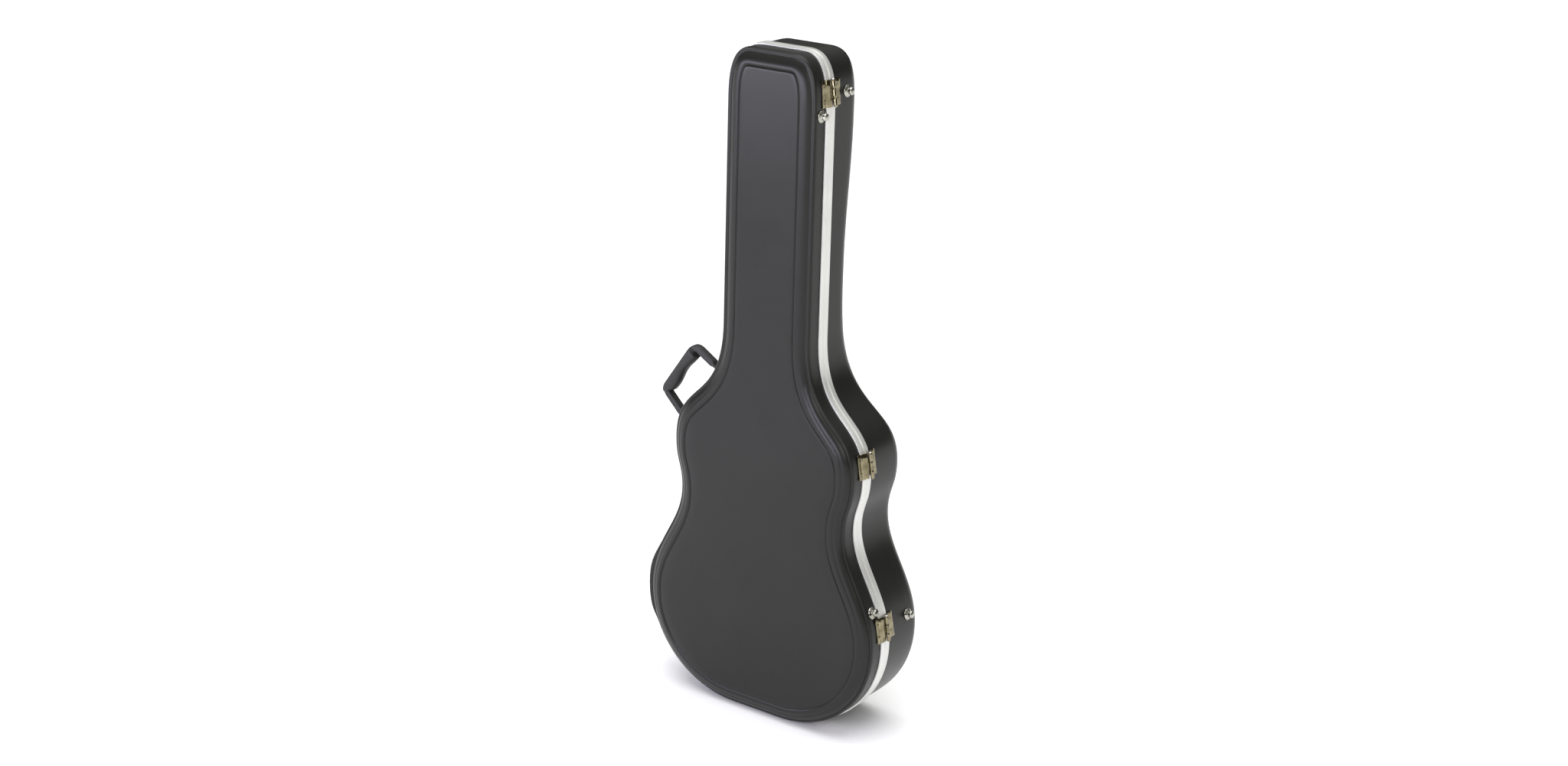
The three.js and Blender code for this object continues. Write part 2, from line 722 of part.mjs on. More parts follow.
function accessoryBox() {
  const { low, high, halfWidth, top, bottom, wall } = HOLD.box;
  const { axisX, axisY, barrel } = HOLD.flap;
  const outer = boxBetween([-halfWidth, top, low], [halfWidth, bottom, high]);
  const inside = boxBetween(
    [-halfWidth + wall, top - 5, low + wall],
    [halfWidth - wall, bottom - wall, high - wall],
  );
  const spans = [
    [low + 10, FLAP_SPLIT.low - GAP],
    [FLAP_SPLIT.high + GAP, high - 10],
  ];
  const ears = spans.flatMap(([z0, z1]) => [
    rod(barrel, z0, z1, 12).translate(axisX, axisY, 0),
    boxBetween([axisX - barrel, axisY, z0], [-halfWidth + 1, top + 5, z1]),
  ]);
  const bore = rod(PIN_RADIUS + 0.2, low, high, 12).translate(axisX, axisY, 0);
  return cut(join(cut(outer, inside), ...ears), bore);
}

function compartmentLid() {
  const { low, high, halfWidth, top } = HOLD.box;
  const { thickness, gap, axisX, axisY, barrel } = HOLD.flap;
  const board = boxBetween(
    [-halfWidth + 3, top - gap - thickness, low + 0.5],
    [halfWidth, top - gap, high - 0.5],
  );
  const hinge = rod(barrel, FLAP_SPLIT.low, FLAP_SPLIT.high, 12).translate(axisX, axisY, 0);
  const bridge = boxBetween(
    [axisX, axisY - 1, FLAP_SPLIT.low],
    [-halfWidth + 4, axisY + 1, FLAP_SPLIT.high],
  );
  const bore = rod(PIN_RADIUS + GAP, low, high, 12).translate(axisX, axisY, 0);
  return cut(join(board, hinge, bridge), bore);
}

function pullTab() {
  const { halfWidth, top } = HOLD.box;
  const middle = (HOLD.box.low + HOLD.box.high) / 2;
  const y = top - HOLD.flap.gap - HOLD.flap.thickness - GAP;
  return boxBetween([halfWidth - 14, y - 1.2, middle - 7], [halfWidth + 8, y, middle + 7]);
}

function headstockPad() {
  return boxBetween([-44, 36, 866], [44, 60, 902]);
}

// ---- assembly ----

const guitarCase = new THREE.Group();
const base = new THREE.Group();
const lid = new THREE.Group();
const handle = new THREE.Group();
guitarCase.add(base, lid, handle);

base.add(named("base_shell", baseShell(), moulding));
base.add(named("base_rail", rail(1), railMetal));
base.add(named("base_liner", liner(1, BASE_LINER_WALL, BASE_LINER_WALL, 25, (s) => baseDepth(s.z)), plush));
lid.add(named("lid_shell", lidShell(), moulding));
lid.add(named("lid_rail", rail(-1), railMetal));
lid.add(named("lid_liner", liner(-1, LID_LINER_WALL, LID_LINER_WALL, 14, (s) => lidCrown(s.z)), plush));

hinge("upper", 1010.5, base, lid);
hinge("middle", 454, base, lid);
hinge("lower", 197, base, lid);

lid.add(glide("foot_lid_head", 979, -21));
lid.add(glide("foot_lid_bout", 227, -21));
base.add(glide("foot_base_head", 1007, 45));
base.add(glide("foot_base_bout", 196, 68));

latch("head", 950, base, lid);
latch("neck", 700, base, lid);
latch("waist", 388, base, lid, 1);
latch("bout", 172, base, lid, LATCH_SWELL, true);

handleParts(base, handle);

base.add(named("neck_cradle", neckCradle(), plush));
base.add(named("accessory_box", accessoryBox(), plush));
base.add(named("compartment_lid", compartmentLid(), plush));
base.add(named("compartment_pull_tab", pullTab(), plush));
const flapPin = rod(PIN_RADIUS, HOLD.box.low + 8, HOLD.box.high - 8, 10);
flapPin.translate(HOLD.flap.axisX, HOLD.flap.axisY, 0);
base.add(named("compartment_hinge_pin", flapPin, chrome));
base.add(named("headstock_pad", headstockPad(), plush));

export default guitarCase;
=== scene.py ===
"""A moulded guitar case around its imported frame: two ABS shells in aluminium rails, pressed hinges,
chrome glides and draw latches, a moulded handle and a plush inside."""

import math

import bmesh
import bpy
import numpy as np
from mathutils import Matrix, Vector


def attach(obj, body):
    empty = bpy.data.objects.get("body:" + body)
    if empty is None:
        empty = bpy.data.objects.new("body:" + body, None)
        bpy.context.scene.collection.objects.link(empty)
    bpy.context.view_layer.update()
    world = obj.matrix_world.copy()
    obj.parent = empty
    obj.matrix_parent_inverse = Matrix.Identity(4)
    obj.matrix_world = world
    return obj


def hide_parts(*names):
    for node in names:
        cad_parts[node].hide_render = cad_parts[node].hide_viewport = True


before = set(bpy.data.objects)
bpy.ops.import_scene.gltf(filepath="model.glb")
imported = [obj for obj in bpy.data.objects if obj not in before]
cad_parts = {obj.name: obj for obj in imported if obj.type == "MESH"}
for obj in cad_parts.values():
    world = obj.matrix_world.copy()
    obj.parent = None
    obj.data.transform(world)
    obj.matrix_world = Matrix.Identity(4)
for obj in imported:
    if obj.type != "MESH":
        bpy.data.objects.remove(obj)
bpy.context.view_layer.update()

MM = 0.001

# ---- camera ----

CAMERA_AIM = Vector((0.01268, 0.0, 0.550202))
CAMERA_AZIMUTH = math.radians(35.0)
CAMERA_ELEVATION = math.radians(19.069)
CAMERA_ROLL = math.radians(1.654)
CAMERA_DISTANCE = 3.448808
CAMERA_LENS_MM = 51.62


def make_camera():
    azimuth, elevation, roll = CAMERA_AZIMUTH, CAMERA_ELEVATION, CAMERA_ROLL
    back = Vector((
        math.sin(azimuth) * math.cos(elevation),
        -math.cos(azimuth) * math.cos(elevation),
        math.sin(elevation),
    ))
    right = Vector((math.cos(azimuth), math.sin(azimuth), 0))
    up = back.cross(right)
    turned_right = right * math.cos(roll) + up * math.sin(roll)
    turned_up = up * math.cos(roll) - right * math.sin(roll)
    data = bpy.data.cameras.new("camera")
    data.lens = CAMERA_LENS_MM
    data.sensor_width = 36.0
    data.clip_end = 400.0
    camera = bpy.data.objects.new("camera", data)
    place = CAMERA_AIM + back * CAMERA_DISTANCE
    camera.matrix_world = Matrix.Translation(place) @ Matrix(
        (turned_right, turned_up, back)
    ).transposed().to_4x4()
    bpy.context.scene.collection.objects.link(camera)
    bpy.context.scene.camera = camera


make_camera()

# ---- materials ----


def srgb(hex_colour):
    """Linear red, green, blue and alpha of an sRGB colour such as #3b3b3b."""
    channels = [int(hex_colour[i:i + 2], 16) / 255 for i in (1, 3, 5)]
    return [c / 12.92 if c <= 0.04045 else ((c + 0.055) / 1.055) ** 2.4 for c in channels] + [1]


def add(tree, kind, inputs=None, **settings):
    """Adds a node with its settings; an input that is a socket is linked, any other is a value."""
    made = tree.nodes.new(kind)
    for name, value in settings.items():
        setattr(made, name, value)
    for name, value in (inputs or {}).items():
        if isinstance(value, bpy.types.NodeSocket):
            tree.links.new(value, made.inputs[name])
        else:
            made.inputs[name].default_value = value
    return made


def new_material(name):
    material = bpy.data.materials.new(name)
    material.use_nodes = True
    tree = material.node_tree
    tree.nodes.clear()
    place = add(tree, "ShaderNodeTexCoord").outputs["Object"]
    return material, tree, place


def finish_material(tree, shader):
    add(tree, "ShaderNodeOutputMaterial", {"Surface": shader.outputs["BSDF"]})


def per_mm(size_mm):
    """Scale of a pattern whose features are this many millimetres across, in metre coordinates."""
    return 1000.0 / size_mm


def two_tone(tree, place, size_mm, first, second, low=0.35, high=0.65):
    """A slow drift between two colours."""
    noise = add(tree, "ShaderNodeTexNoise", {"Vector": place, "Scale": per_mm(size_mm), "Detail": 3.0})
    ramp = add(tree, "ShaderNodeValToRGB", {"Fac": noise.outputs["Fac"]})
    ramp.color_ramp.elements[0].position = low
    ramp.color_ramp.elements[0].color = srgb(first)
    ramp.color_ramp.elements[1].position = high
    ramp.color_ramp.elements[1].color = srgb(second)
    return ramp.outputs["Color"]


def between(tree, factor, low, high):
    """A factor from 0 to 1 mapped onto a range."""
    mapped = add(tree, "ShaderNodeMapRange", {"Value": factor, "To Min": low, "To Max": high})
    return mapped.outputs["Result"]


def moulded_abs(name, dark, light, grain_mm, grain_depth_mm, rough, gloss):
    """Vacuum-formed ABS: even dark plastic, a fine leather-like grain and a soft wide gloss."""
    material, tree, place = new_material(name)
    grain = add(tree, "ShaderNodeTexVoronoi", {"Vector": place, "Scale": per_mm(grain_mm)})
    speck = add(tree, "ShaderNodeTexNoise", {
        "Vector": place, "Scale": per_mm(grain_mm * 0.6), "Detail": 2.0,
    })
    height = add(tree, "ShaderNodeMath", {
        0: grain.outputs["Distance"], 1: speck.outputs["Fac"],
    }, operation="ADD")
    bump = add(tree, "ShaderNodeBump", {
        "Height": height.outputs["Value"], "Strength": 0.35, "Distance": grain_depth_mm * MM,
    })
    handled = add(tree, "ShaderNodeTexNoise", {"Vector": place, "Scale": per_mm(60), "Detail": 4.0})
    shader = add(tree, "ShaderNodeBsdfPrincipled", {
        "Base Color": two_tone(tree, place, 90, dark, light),
        "Roughness": between(tree, handled.outputs["Fac"], rough - 0.05, rough + 0.06),
        "IOR": 1.54,
        "Specular IOR Level": gloss,
        "Normal": bump.outputs["Normal"],
    })
    finish_material(tree, shader)
    return material


def plated(name, dull, bright, rough, patch_mm, metallic=1.0):
    """Plated or polished metal, with patches of faint tarnish and fine rubbed scratches.

    Metallic below 1 mixes in a diffuse layer, which real bare metal doesn't have.
    """
    material, tree, place = new_material(name)
    tarnish = add(tree, "ShaderNodeTexNoise", {
        "Vector": place, "Scale": per_mm(patch_mm * 0.7), "Detail": 4.0,
    })
    rubbed = add(tree, "ShaderNodeTexNoise", {"Vector": place, "Scale": per_mm(0.8), "Detail": 2.0})
    bump = add(tree, "ShaderNodeBump", {
        "Height": rubbed.outputs["Fac"], "Strength": 0.03, "Distance": 0.01 * MM,
    })
    shader = add(tree, "ShaderNodeBsdfPrincipled", {
        "Base Color": two_tone(tree, place, patch_mm, dull, bright),
        "Metallic": metallic,
        "Roughness": between(tree, tarnish.outputs["Fac"], rough * 0.8, rough * 1.25),
        "Normal": bump.outputs["Normal"],
    })
    finish_material(tree, shader)
    return material


def plush_pile(name, deep, tip, pile_mm):
    """Short plush: a soft nap that lightens at grazing angles, with brushed patches, painted shade low
    in the pile and painted highlight at the fibre tips.
    """
    material, tree, place = new_material(name)
    fibre = add(tree, "ShaderNodeTexNoise", {
        "Vector": place, "Scale": per_mm(pile_mm), "Detail": 6.0, "Roughness": 0.7,
    })
    brushed = add(tree, "ShaderNodeTexNoise", {
        "Vector": place, "Scale": per_mm(38), "Detail": 3.0, "Distortion": 0.6,
    })
    lie = add(tree, "ShaderNodeMath", {
        0: fibre.outputs["Fac"], 1: brushed.outputs["Fac"],
    }, operation="MULTIPLY")
    # Painted shade and highlight: the colour follows the pile's bump, darker where it is low and
    # lighter where it stands high.
    ramp = add(tree, "ShaderNodeValToRGB", {"Fac": lie.outputs["Value"]})
    ramp.color_ramp.elements[0].position = 0.12
    ramp.color_ramp.elements[0].color = srgb(deep)
    ramp.color_ramp.elements[1].position = 0.42
    ramp.color_ramp.elements[1].color = srgb(tip)
    bump = add(tree, "ShaderNodeBump", {
        "Height": fibre.outputs["Fac"], "Strength": 0.8, "Distance": 0.6 * MM,
    })
    shader = add(tree, "ShaderNodeBsdfPrincipled", {
        "Base Color": ramp.outputs["Color"],
        "Roughness": 0.95,
        "Specular IOR Level": 0.2,
        "Sheen Weight": 0.6,
        "Sheen Roughness": 0.45,
        "Sheen Tint": srgb("#8d93a0"),
        "Normal": bump.outputs["Normal"],
    })
    finish_material(tree, shader)
    return material


def woven_ribbon(name, shade, light, thread_mm):
    """Woven nylon ribbon: fine ribs across its length, with painted shade in their troughs and painted
    highlight on their crests.
    """
    material, tree, place = new_material(name)
    ribs = add(tree, "ShaderNodeTexWave", {
        "Vector": place, "Scale": per_mm(thread_mm) / 20, "Distortion": 0.4,
    }, bands_direction="X")
    # Painted shade and highlight: the ribs' colour follows their bump, dark where low and light where
    # high.
    ramp = add(tree, "ShaderNodeValToRGB", {"Fac": ribs.outputs["Fac"]})
    ramp.color_ramp.elements[0].color = srgb(shade)
    ramp.color_ramp.elements[1].color = srgb(light)
    bump = add(tree, "ShaderNodeBump", {
        "Height": ribs.outputs["Fac"], "Strength": 0.5, "Distance": 0.2 * MM,
    })
    shader = add(tree, "ShaderNodeBsdfPrincipled", {
        "Base Color": ramp.outputs["Color"],
        "Roughness": 0.6,
        "Sheen Weight": 0.3,
        "Normal": bump.outputs["Normal"],
    })
    finish_material(tree, shader)
    return material


def painted_floor(name, shade, light):
    """Matt white studio floor with a barely visible roller texture."""
    material, tree, place = new_material(name)
    roller = add(tree, "ShaderNodeTexNoise", {"Vector": place, "Scale": per_mm(4), "Detail": 2.0})
    bump = add(tree, "ShaderNodeBump", {
        "Height": roller.outputs["Fac"], "Strength": 0.05, "Distance": 0.1 * MM,
    })
    shader = add(tree, "ShaderNodeBsdfPrincipled", {
        "Base Color": two_tone(tree, place, 400, shade, light),
        "Roughness": 0.8,
        "Normal": bump.outputs["Normal"],
    })
    finish_material(tree, shader)
    return material


# The nickel and chrome colours are painted darker than the real platings, as painted dark reflections
# of the studio.
# The rails are only part metallic, so that they look right here. In other light they look duller than
# the real ones.
SHELL_ABS = moulded_abs("moulded_abs", "#181816", "#1b1b19", 0.9, 0.05, 0.31, 0.24)
GRIP_ABS = moulded_abs("grained_grip_plastic", "#222222", "#292929", 0.7, 0.08, 0.42, 0.3)
RAIL_ALUMINIUM = plated("satin_anodised_aluminium", "#d3d3cf", "#dadad6", 0.4, 60, 0.6)
# Painted dark reflection: the nickel's colours are darker than real nickel plate.
NICKEL_PAINTED_DARK_REFLECTION = plated("warm_nickel_plate_painted_dark_reflection", "#6f6851", "#8f876e", 0.12, 12)
# Painted dark reflection: the chrome's colours are darker than real chrome.
CHROME_PAINTED_DARK_REFLECTION = plated("polished_chrome_painted_dark_reflection", "#94938a", "#b3b2a9", 0.06, 20)
PIN_STEEL = plated("bright_steel_wire", "#b9b9b5", "#cfcfcb", 0.2, 12)
LOCK_BRASS = plated("turned_brass", "#b08f4a", "#cdb070", 0.2, 8)
PLUSH = plush_pile("black_plush", "#0e0e10", "#2a2a2e", 1.4)
RIBBON = woven_ribbon("black_ribbon", "#0c0c0d", "#2c2c2e", 1.2)
FLOOR_PAINT = painted_floor("white_floor_paint", "#fafafa", "#fcfcfc")

# ---- meshes ----


def piece(name, parts, material, body, stands_for=(), sharp=32, bevel=0):
    """Joins parts, each a list of points in millimetres and faces, into one object on a body."""
    points, faces = [], []
    for part_points, part_faces in parts:
        start = len(points)
        points.extend(part_points)
        faces.extend([start + i for i in face] for face in part_faces)
    mesh = bpy.data.meshes.new(name)
    mesh.from_pydata([Vector(p) * MM for p in points], [], faces)
    made = bmesh.new()
    made.from_mesh(mesh)
    bmesh.ops.recalc_face_normals(made, faces=made.faces)
    made.to_mesh(mesh)
    made.free()
    mesh.shade_smooth()
    mesh.set_sharp_from_angle(angle=math.radians(sharp))
    obj = bpy.data.objects.new(name, mesh)
    bpy.context.scene.collection.objects.link(obj)
    mesh.materials.append(material)
    if bevel:
        rounded = obj.modifiers.new("rounded_edges", "BEVEL")
        rounded.width = bevel * MM
        rounded.segments = 3
        rounded.limit_method = "ANGLE"
        rounded.angle_limit = math.radians(sharp)
        rounded.harden_normals = False
    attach(obj, body)
    if stands_for:
        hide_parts(*stands_for)
    return obj


def skin(rows, close_rows=False, close_columns=False):
    """Points and four-sided faces over rows of points."""
    count = len(rows[0])
    points = [tuple(p) for row in rows for p in row]
    faces = []
    for r in range(len(rows) - (0 if close_rows else 1)):
        below, above = r * count, ((r + 1) % len(rows)) * count
        for c in range(count - (0 if close_columns else 1)):
            right = (c + 1) % count
            faces.append([below + c, below + right, above + right, above + c])
    return points, faces


def moved(part, matrix):
    """A part set down in the place that a matrix gives."""
    points, faces = part
    return [tuple(matrix @ Vector(p)) for p in points], faces


def turned(profile, sides=40, axis="X"):
    """A turned form: the profile holds radius and distance along the axis."""
    rows = []
    for radius, along in profile:
        row = []
        for k in range(sides):
            angle = 2 * math.pi * k / sides
            across = (radius * math.cos(angle), radius * math.sin(angle))
            row.append((along, *across) if axis == "X" else (*across, along))
        rows.append(row)
    points, faces = skin(rows, close_columns=True)
    for end in (0, len(profile) - 1):
        if profile[end][0] > 1e-6:
            faces.append([end * sides + k for k in range(sides)])
    return points, faces


def slab(outline, low, high, axis="Z"):
    """A flat plate: an outline of pairs, thickened along an axis from low to high."""
    order = {
        "X": lambda a, b, t: (t, a, b),
        "Y": lambda a, b, t: (a, t, b),
        "Z": lambda a, b, t: (a, b, t),
    }
    rows = [[order[axis](a, b, t) for a, b in outline] for t in (low, high)]
    points, faces = skin(rows, close_columns=True)
    count = len(outline)
    faces.append(list(range(count)))
    faces.append(list(range(count, 2 * count)))
    return points, faces


def rounded_rectangle(a0, a1, b0, b1, radius, steps=6):
    """Outline of a rectangle with round corners."""
    corners = [
        (a1 - radius, b0 + radius, -90), (a1 - radius, b1 - radius, 0),
        (a0 + radius, b1 - radius, 90), (a0 + radius, b0 + radius, 180),
    ]
    outline = []
    for a, b, start in corners:
        for k in range(steps + 1):
            angle = math.radians(start + 90 * k / steps)
            outline.append((a + radius * math.cos(angle), b + radius * math.sin(angle)))
    return outline


def arc(a, b, radius, start, end, steps):
    """Points on an arc about (a, b), between two angles in degrees."""
    angles = [math.radians(start + (end - start) * k / steps) for k in range(steps + 1)]
    return [(a + radius * math.cos(t), b + radius * math.sin(t)) for t in angles]


def rivet(matrix, radius=2.3, height=1.1):
    """A low domed rivet head standing on a plate, along local X."""
    dome = [(radius, 0), (radius, 0.25 * height)]
    for k in range(1, 6):
        angle = math.pi / 2 * k / 5
        dome.append((radius * math.cos(angle), height * (0.25 + 0.75 * math.sin(angle))))
    return moved(turned(dome, sides=20), matrix)


def spaced(x, y, z):
    """A shift along a place's own axes."""
    return Matrix.Translation(Vector((x, y, z)))


# ---- outline: the same curves as the frame's ----

LENGTH = 1070
OUTLINE = [
    [(0, 0), (15, 0), (30, 0), (45, 0)],
    [(45, 0), (142, 0), (217.9, 73), (217.9, 166)],
    [(217.9, 166), (217.9, 246), (158.3, 286), (158.3, 348)],
    [(158.3, 348), (158.3, 385), (171.7, 389), (171.7, 431)],
    [(171.7, 431), (171.7, 532), (82.8, 500), (82.8, 639)],
    [(82.8, 639), (82.6, 755.7), (82.5, 872.3), (82.3, 989)],
    [(82.3, 989), (82.3, 1029), (76, 1070), (36, 1070)],
    [(36, 1070), (24, 1070), (12, 1070), (0, 1070)],
]
DIVISIONS = [3, 34, 24, 12, 30, 18, 22, 3]


class Station:
    """A point of the outline with its outward normal."""

    def __init__(self, x, z, nx, nz):
        self.x, self.z, self.nx, self.nz = x, z, nx, nz


def station_on(curve, t):
    """The station at share t of a curve given by its four control points."""
    s = 1 - t
    p = [Vector(c) for c in curve]
    point = p[0] * s ** 3 + p[1] * 3 * s * s * t + p[2] * 3 * s * t * t + p[3] * t ** 3
    slope = (p[1] - p[0]) * s * s + (p[2] - p[1]) * 2 * s * t + (p[3] - p[2]) * t * t
    slope.normalize()
    return Station(point.x, point.y, slope.y, -slope.x)


def all_stations():
    """Up the right side and down the left one, without a repeat at the two ends."""
    right = [Station(0, 0, 0, -1)]
    for curve, count in zip(OUTLINE, DIVISIONS):
        right.extend(station_on(curve, k / count) for k in range(1, count + 1))
    right[-1] = Station(0, LENGTH, 0, 1)
    left = [Station(-s.x, s.z, -s.nx, s.nz) for s in reversed(right[1:-1])]
    return right + left


STATIONS = all_stations()


def station_at(z):
    """The station on the right side at height z."""
    curve = next(c for c in OUTLINE if c[0][1] <= z <= c[3][1] and c[3][1] > c[0][1])
    low, high = 0.0, 1.0
    for _ in range(30):
        middle = (low + high) / 2
        if station_on(curve, middle).z < z:
            low = middle
        else:
            high = middle
    return station_on(curve, low)


def ease(t):
    """A smooth rise from 0 to 1."""
    return (1 - math.cos(math.pi * min(max(t, 0), 1))) / 2


BODY_DEPTH, NECK_DROP, HEAD_RISE = 106, 37, 13
BODY_CROWN, CROWN_DROP = 46, 4
PANEL_RISE = 3
SWELLING = 5.5
SWELLING_LOW, SWELLING_HIGH = 95, 250


def base_depth(z):
    """How deep the back lies: most at the body, least at the neck, a little more at the head."""
    return BODY_DEPTH - NECK_DROP * ease((z - 420) / 280) + HEAD_RISE * ease((z - 740) / 230)


def lid_crown(z):
    """How far the front panel stands out from the rails' parting plane."""
    return BODY_CROWN - CROWN_DROP * ease((z - 430) / 200)


def panel_rise(z):
    """How much the front panel domes towards its middle; it is flat along the neck."""
    return PANEL_RISE * (1 - ease((z - 430) / 160))


def swell(s):
    """The moulded swelling under the lower latch, on the left side only."""
    if s.x > 0:
        return 0
    return SWELLING * ease((s.z - SWELLING_LOW) / 35) * ease((SWELLING_HIGH - s.z) / 60)


def ring(inset, depth, side):
    """Points round the case; inset and depth are functions of the station."""
    points = []
    for s in STATIONS:
        i, d = inset(s), depth(s)
        points.append((s.x - s.nx * i, side * d, s.z - s.nz * i))
    return points


SPINE_LOW, SPINE_HIGH = 100, 1015


def filled(rim, depth_at, rise_at, side, shares):
    """Rings that close a panel from its rim to the centre line, rising smoothly towards it."""
    rings = []
    for share in shares:
        row = []
        for s, (x, _, z) in zip(STATIONS, rim):
            middle = min(max(s.z, SPINE_LOW), SPINE_HIGH)
            height = z + (middle - z) * share
            rise = rise_at(middle) * share * (2 - share)
            row.append((x * (1 - share), side * (depth_at(height) + rise), height))
        rings.append(row)
    return rings


PANEL_SHARES = (0.12, 0.26, 0.42, 0.58, 0.74, 0.88, 1.0)


def shell_solid(outer, inner):
    """A shell from its outer rings and inner rings, each listed from rim to centre."""
    return skin(outer[::-1] + inner, close_columns=True)


# ---- shells ----

RIM = 2.05
RAIL_EDGE = 11.3
INSET = 2.5
WALL = 2.6
WALL_FROM = 12.6
EDGE_RADIUS = 25
LEDGE = 35
BASE_INNER_EDGE, LID_INNER_EDGE = 22, 11

# Inset and drop of the embossed line that frames the front panel. The back's lies further in.
EMBOSSED_LINE = (
    (26.2, 0), (27.0, 0.25), (27.7, 1.0), (28.5, 1.35), (29.3, 1.0), (30.0, 0.25), (30.8, 0),
)
BACK_LINE_INSET = 10

# Inward, depth and share of the swelling, up the lid's wall and over its ridge to the ledge.
LID_WALL = (
    (0, 11.7, 0.9), (0, WALL_FROM, 1), (0, 20, 1), (0, 28, 1), (0, 31.5, 1), (0.25, 33.2, 0.98),
    (1.0, 34.7, 0.94), (2.2, 35.6, 0.86), (3.5, 35.7, 0.74), (4.6, 35.3, 0.55), (5.6, LEDGE, 0.3),
)

# Inset and share of the height from ledge to crown, up the lid's shoulder.
LID_SHOULDER = (
    (9.4, 0.05), (10.4, 0.14), (11.8, 0.29), (13.4, 0.45), (15.2, 0.6),
    (17.2, 0.74), (19.4, 0.86), (21.8, 0.945), (24.2, 0.99),
)

# Inset and depth round the section of a rail.
RAIL_SECTION = (
    (2.2, 11.0), (0.7, 11.0), (0.2, 10.8), (0.0, 10.3), (0.0, 2.2), (0.35, 1.9), (0.35, 1.5),
    (0.0, 1.2), (0.05, 0.6), (0.4, 0.2), (0.9, 0.15), (5.4, 0.15), (5.4, 1.75), (2.2, 1.75),
)

PAD_CENTRES = (-48, 48)
PAD_HALF, PAD_FRONT, PAD_BACK, PAD_CORNER, PAD_HEIGHT = 18, 24, 72, 7, 7


def constant(value):
    """The same inset or depth at every station."""
    return lambda s: value


def base_outer():
    """The base's rings: rim, wall with its swelling, a round edge, an embossed line, the back."""
    rings = [ring(constant(INSET), constant(d), 1) for d in (RIM, RAIL_EDGE)]
    for depth, share in ((11.7, 0.9), (WALL_FROM, 1.0)):
        rings.append(ring(lambda s, k=share: INSET - k * swell(s), constant(depth), 1))
    for part in (0.25, 0.5, 0.75):
        rings.append(ring(
            lambda s: INSET - swell(s),
            lambda s, k=part: WALL_FROM + k * (base_depth(s.z) - EDGE_RADIUS - WALL_FROM), 1,
        ))
    for step in range(11):
        angle = math.pi / 2 * step / 10
        inward = EDGE_RADIUS * (1 - math.cos(angle))
        drop = EDGE_RADIUS * (1 - math.sin(angle))
        share = max(math.cos(angle), 0) ** 1.5
        rings.append(ring(
            lambda s, i=inward, k=share: INSET + i - k * swell(s),
            lambda s, d=drop: base_depth(s.z) - d, 1,
        ))
    for inset, drop in EMBOSSED_LINE:
        inward = constant(inset + BACK_LINE_INSET)
        rings.append(ring(inward, lambda s, d=drop: base_depth(s.z) - d, 1))
    return rings + filled(rings[-1], base_depth, constant(0), 1, PANEL_SHARES)


def lid_outer():
    """The lid's rings: rim, wall with its swelling, a ridge, the ledge, the shoulder, the panel."""
    rings = [ring(constant(INSET), constant(d), -1) for d in (RIM, RAIL_EDGE)]
    for inward, depth, share in LID_WALL:
        rings.append(ring(lambda s, i=inward, k=share: INSET + i - k * swell(s), constant(depth), -1))
    for inset, share in LID_SHOULDER:
        rings.append(ring(
            constant(inset), lambda s, k=share: LEDGE + k * (lid_crown(s.z) - LEDGE), -1,
        ))
    for inset, drop in EMBOSSED_LINE:
        rings.append(ring(constant(inset), lambda s, d=drop: lid_crown(s.z) - d, -1))
    return rings + filled(rings[-1], lid_crown, panel_rise, -1, PANEL_SHARES)


def inner_rings(depth_at, rise_at, side, edge):
    """The inside of a shell, plain."""
    inside = INSET + WALL
    rings = [
        ring(constant(inside), constant(RIM), side),
        ring(constant(inside), lambda s: depth_at(s.z) - WALL - edge, side),
        ring(constant(inside + edge * 0.4), lambda s: depth_at(s.z) - WALL - edge * 0.35, side),
        ring(constant(inside + edge), lambda s: depth_at(s.z) - WALL, side),
    ]
    lowered = filled(rings[-1], lambda z: depth_at(z) - WALL, rise_at, side, (0.4, 0.8, 1.0))
    return rings + lowered


def make_shells():
    piece(
        "base_shell_moulding",
        [
            shell_solid(base_outer(), inner_rings(base_depth, constant(0), 1, BASE_INNER_EDGE)),
            *standing_pads(),
        ],
        SHELL_ABS, "base", ["base_shell"],
    )
    piece(
        "lid_shell_moulding",
        [shell_solid(lid_outer(), inner_rings(lid_crown, panel_rise, -1, LID_INNER_EDGE))],
        SHELL_ABS, "lid", ["lid_shell"],
    )


def standing_pads():
    """Two moulded pads with round corners under the wide end of the base."""
    pads = []
    for middle in PAD_CENTRES:
        outline = rounded_rectangle(
            middle - PAD_HALF, middle + PAD_HALF, PAD_FRONT, PAD_BACK, PAD_CORNER,
        )
        pads.append(slab(outline, 0, PAD_HEIGHT))
    return pads


def make_rail(name, side, body, stands_for):
    """An extruded rail: its leg covers the shell's edge, with small round edges and a shadow line."""
    rings = [ring(constant(i), constant(d), side) for i, d in RAIL_SECTION]
    piece(
        name, [skin(rings, close_rows=True, close_columns=True)],
        RAIL_ALUMINIUM, body, [stands_for],
    )


make_shells()
make_rail("base_rail_extrusion", 1, "base", "base_rail")
make_rail("lid_rail_extrusion", -1, "lid", "lid_rail")

# ---- places on the wall ----


def wall_frame(z, side, lift=0):
    """On the wall at height z: local X points out, Y towards the base, Z along the wall."""
    s = station_at(z)
    angle = math.atan2(-s.nz, side * s.nx)
    origin = (side * (s.x + s.nx * lift), 0, s.z + s.nz * lift)
    return Matrix.Translation(origin) @ Matrix.Rotation(angle, 4, "Y")


HINGE_TOP = (87.5, 1010.5)
HINGE_LOW = (220.2, 197)
HINGE_TILT = math.atan2(HINGE_LOW[0] - HINGE_TOP[0], HINGE_TOP[1] - HINGE_LOW[1])


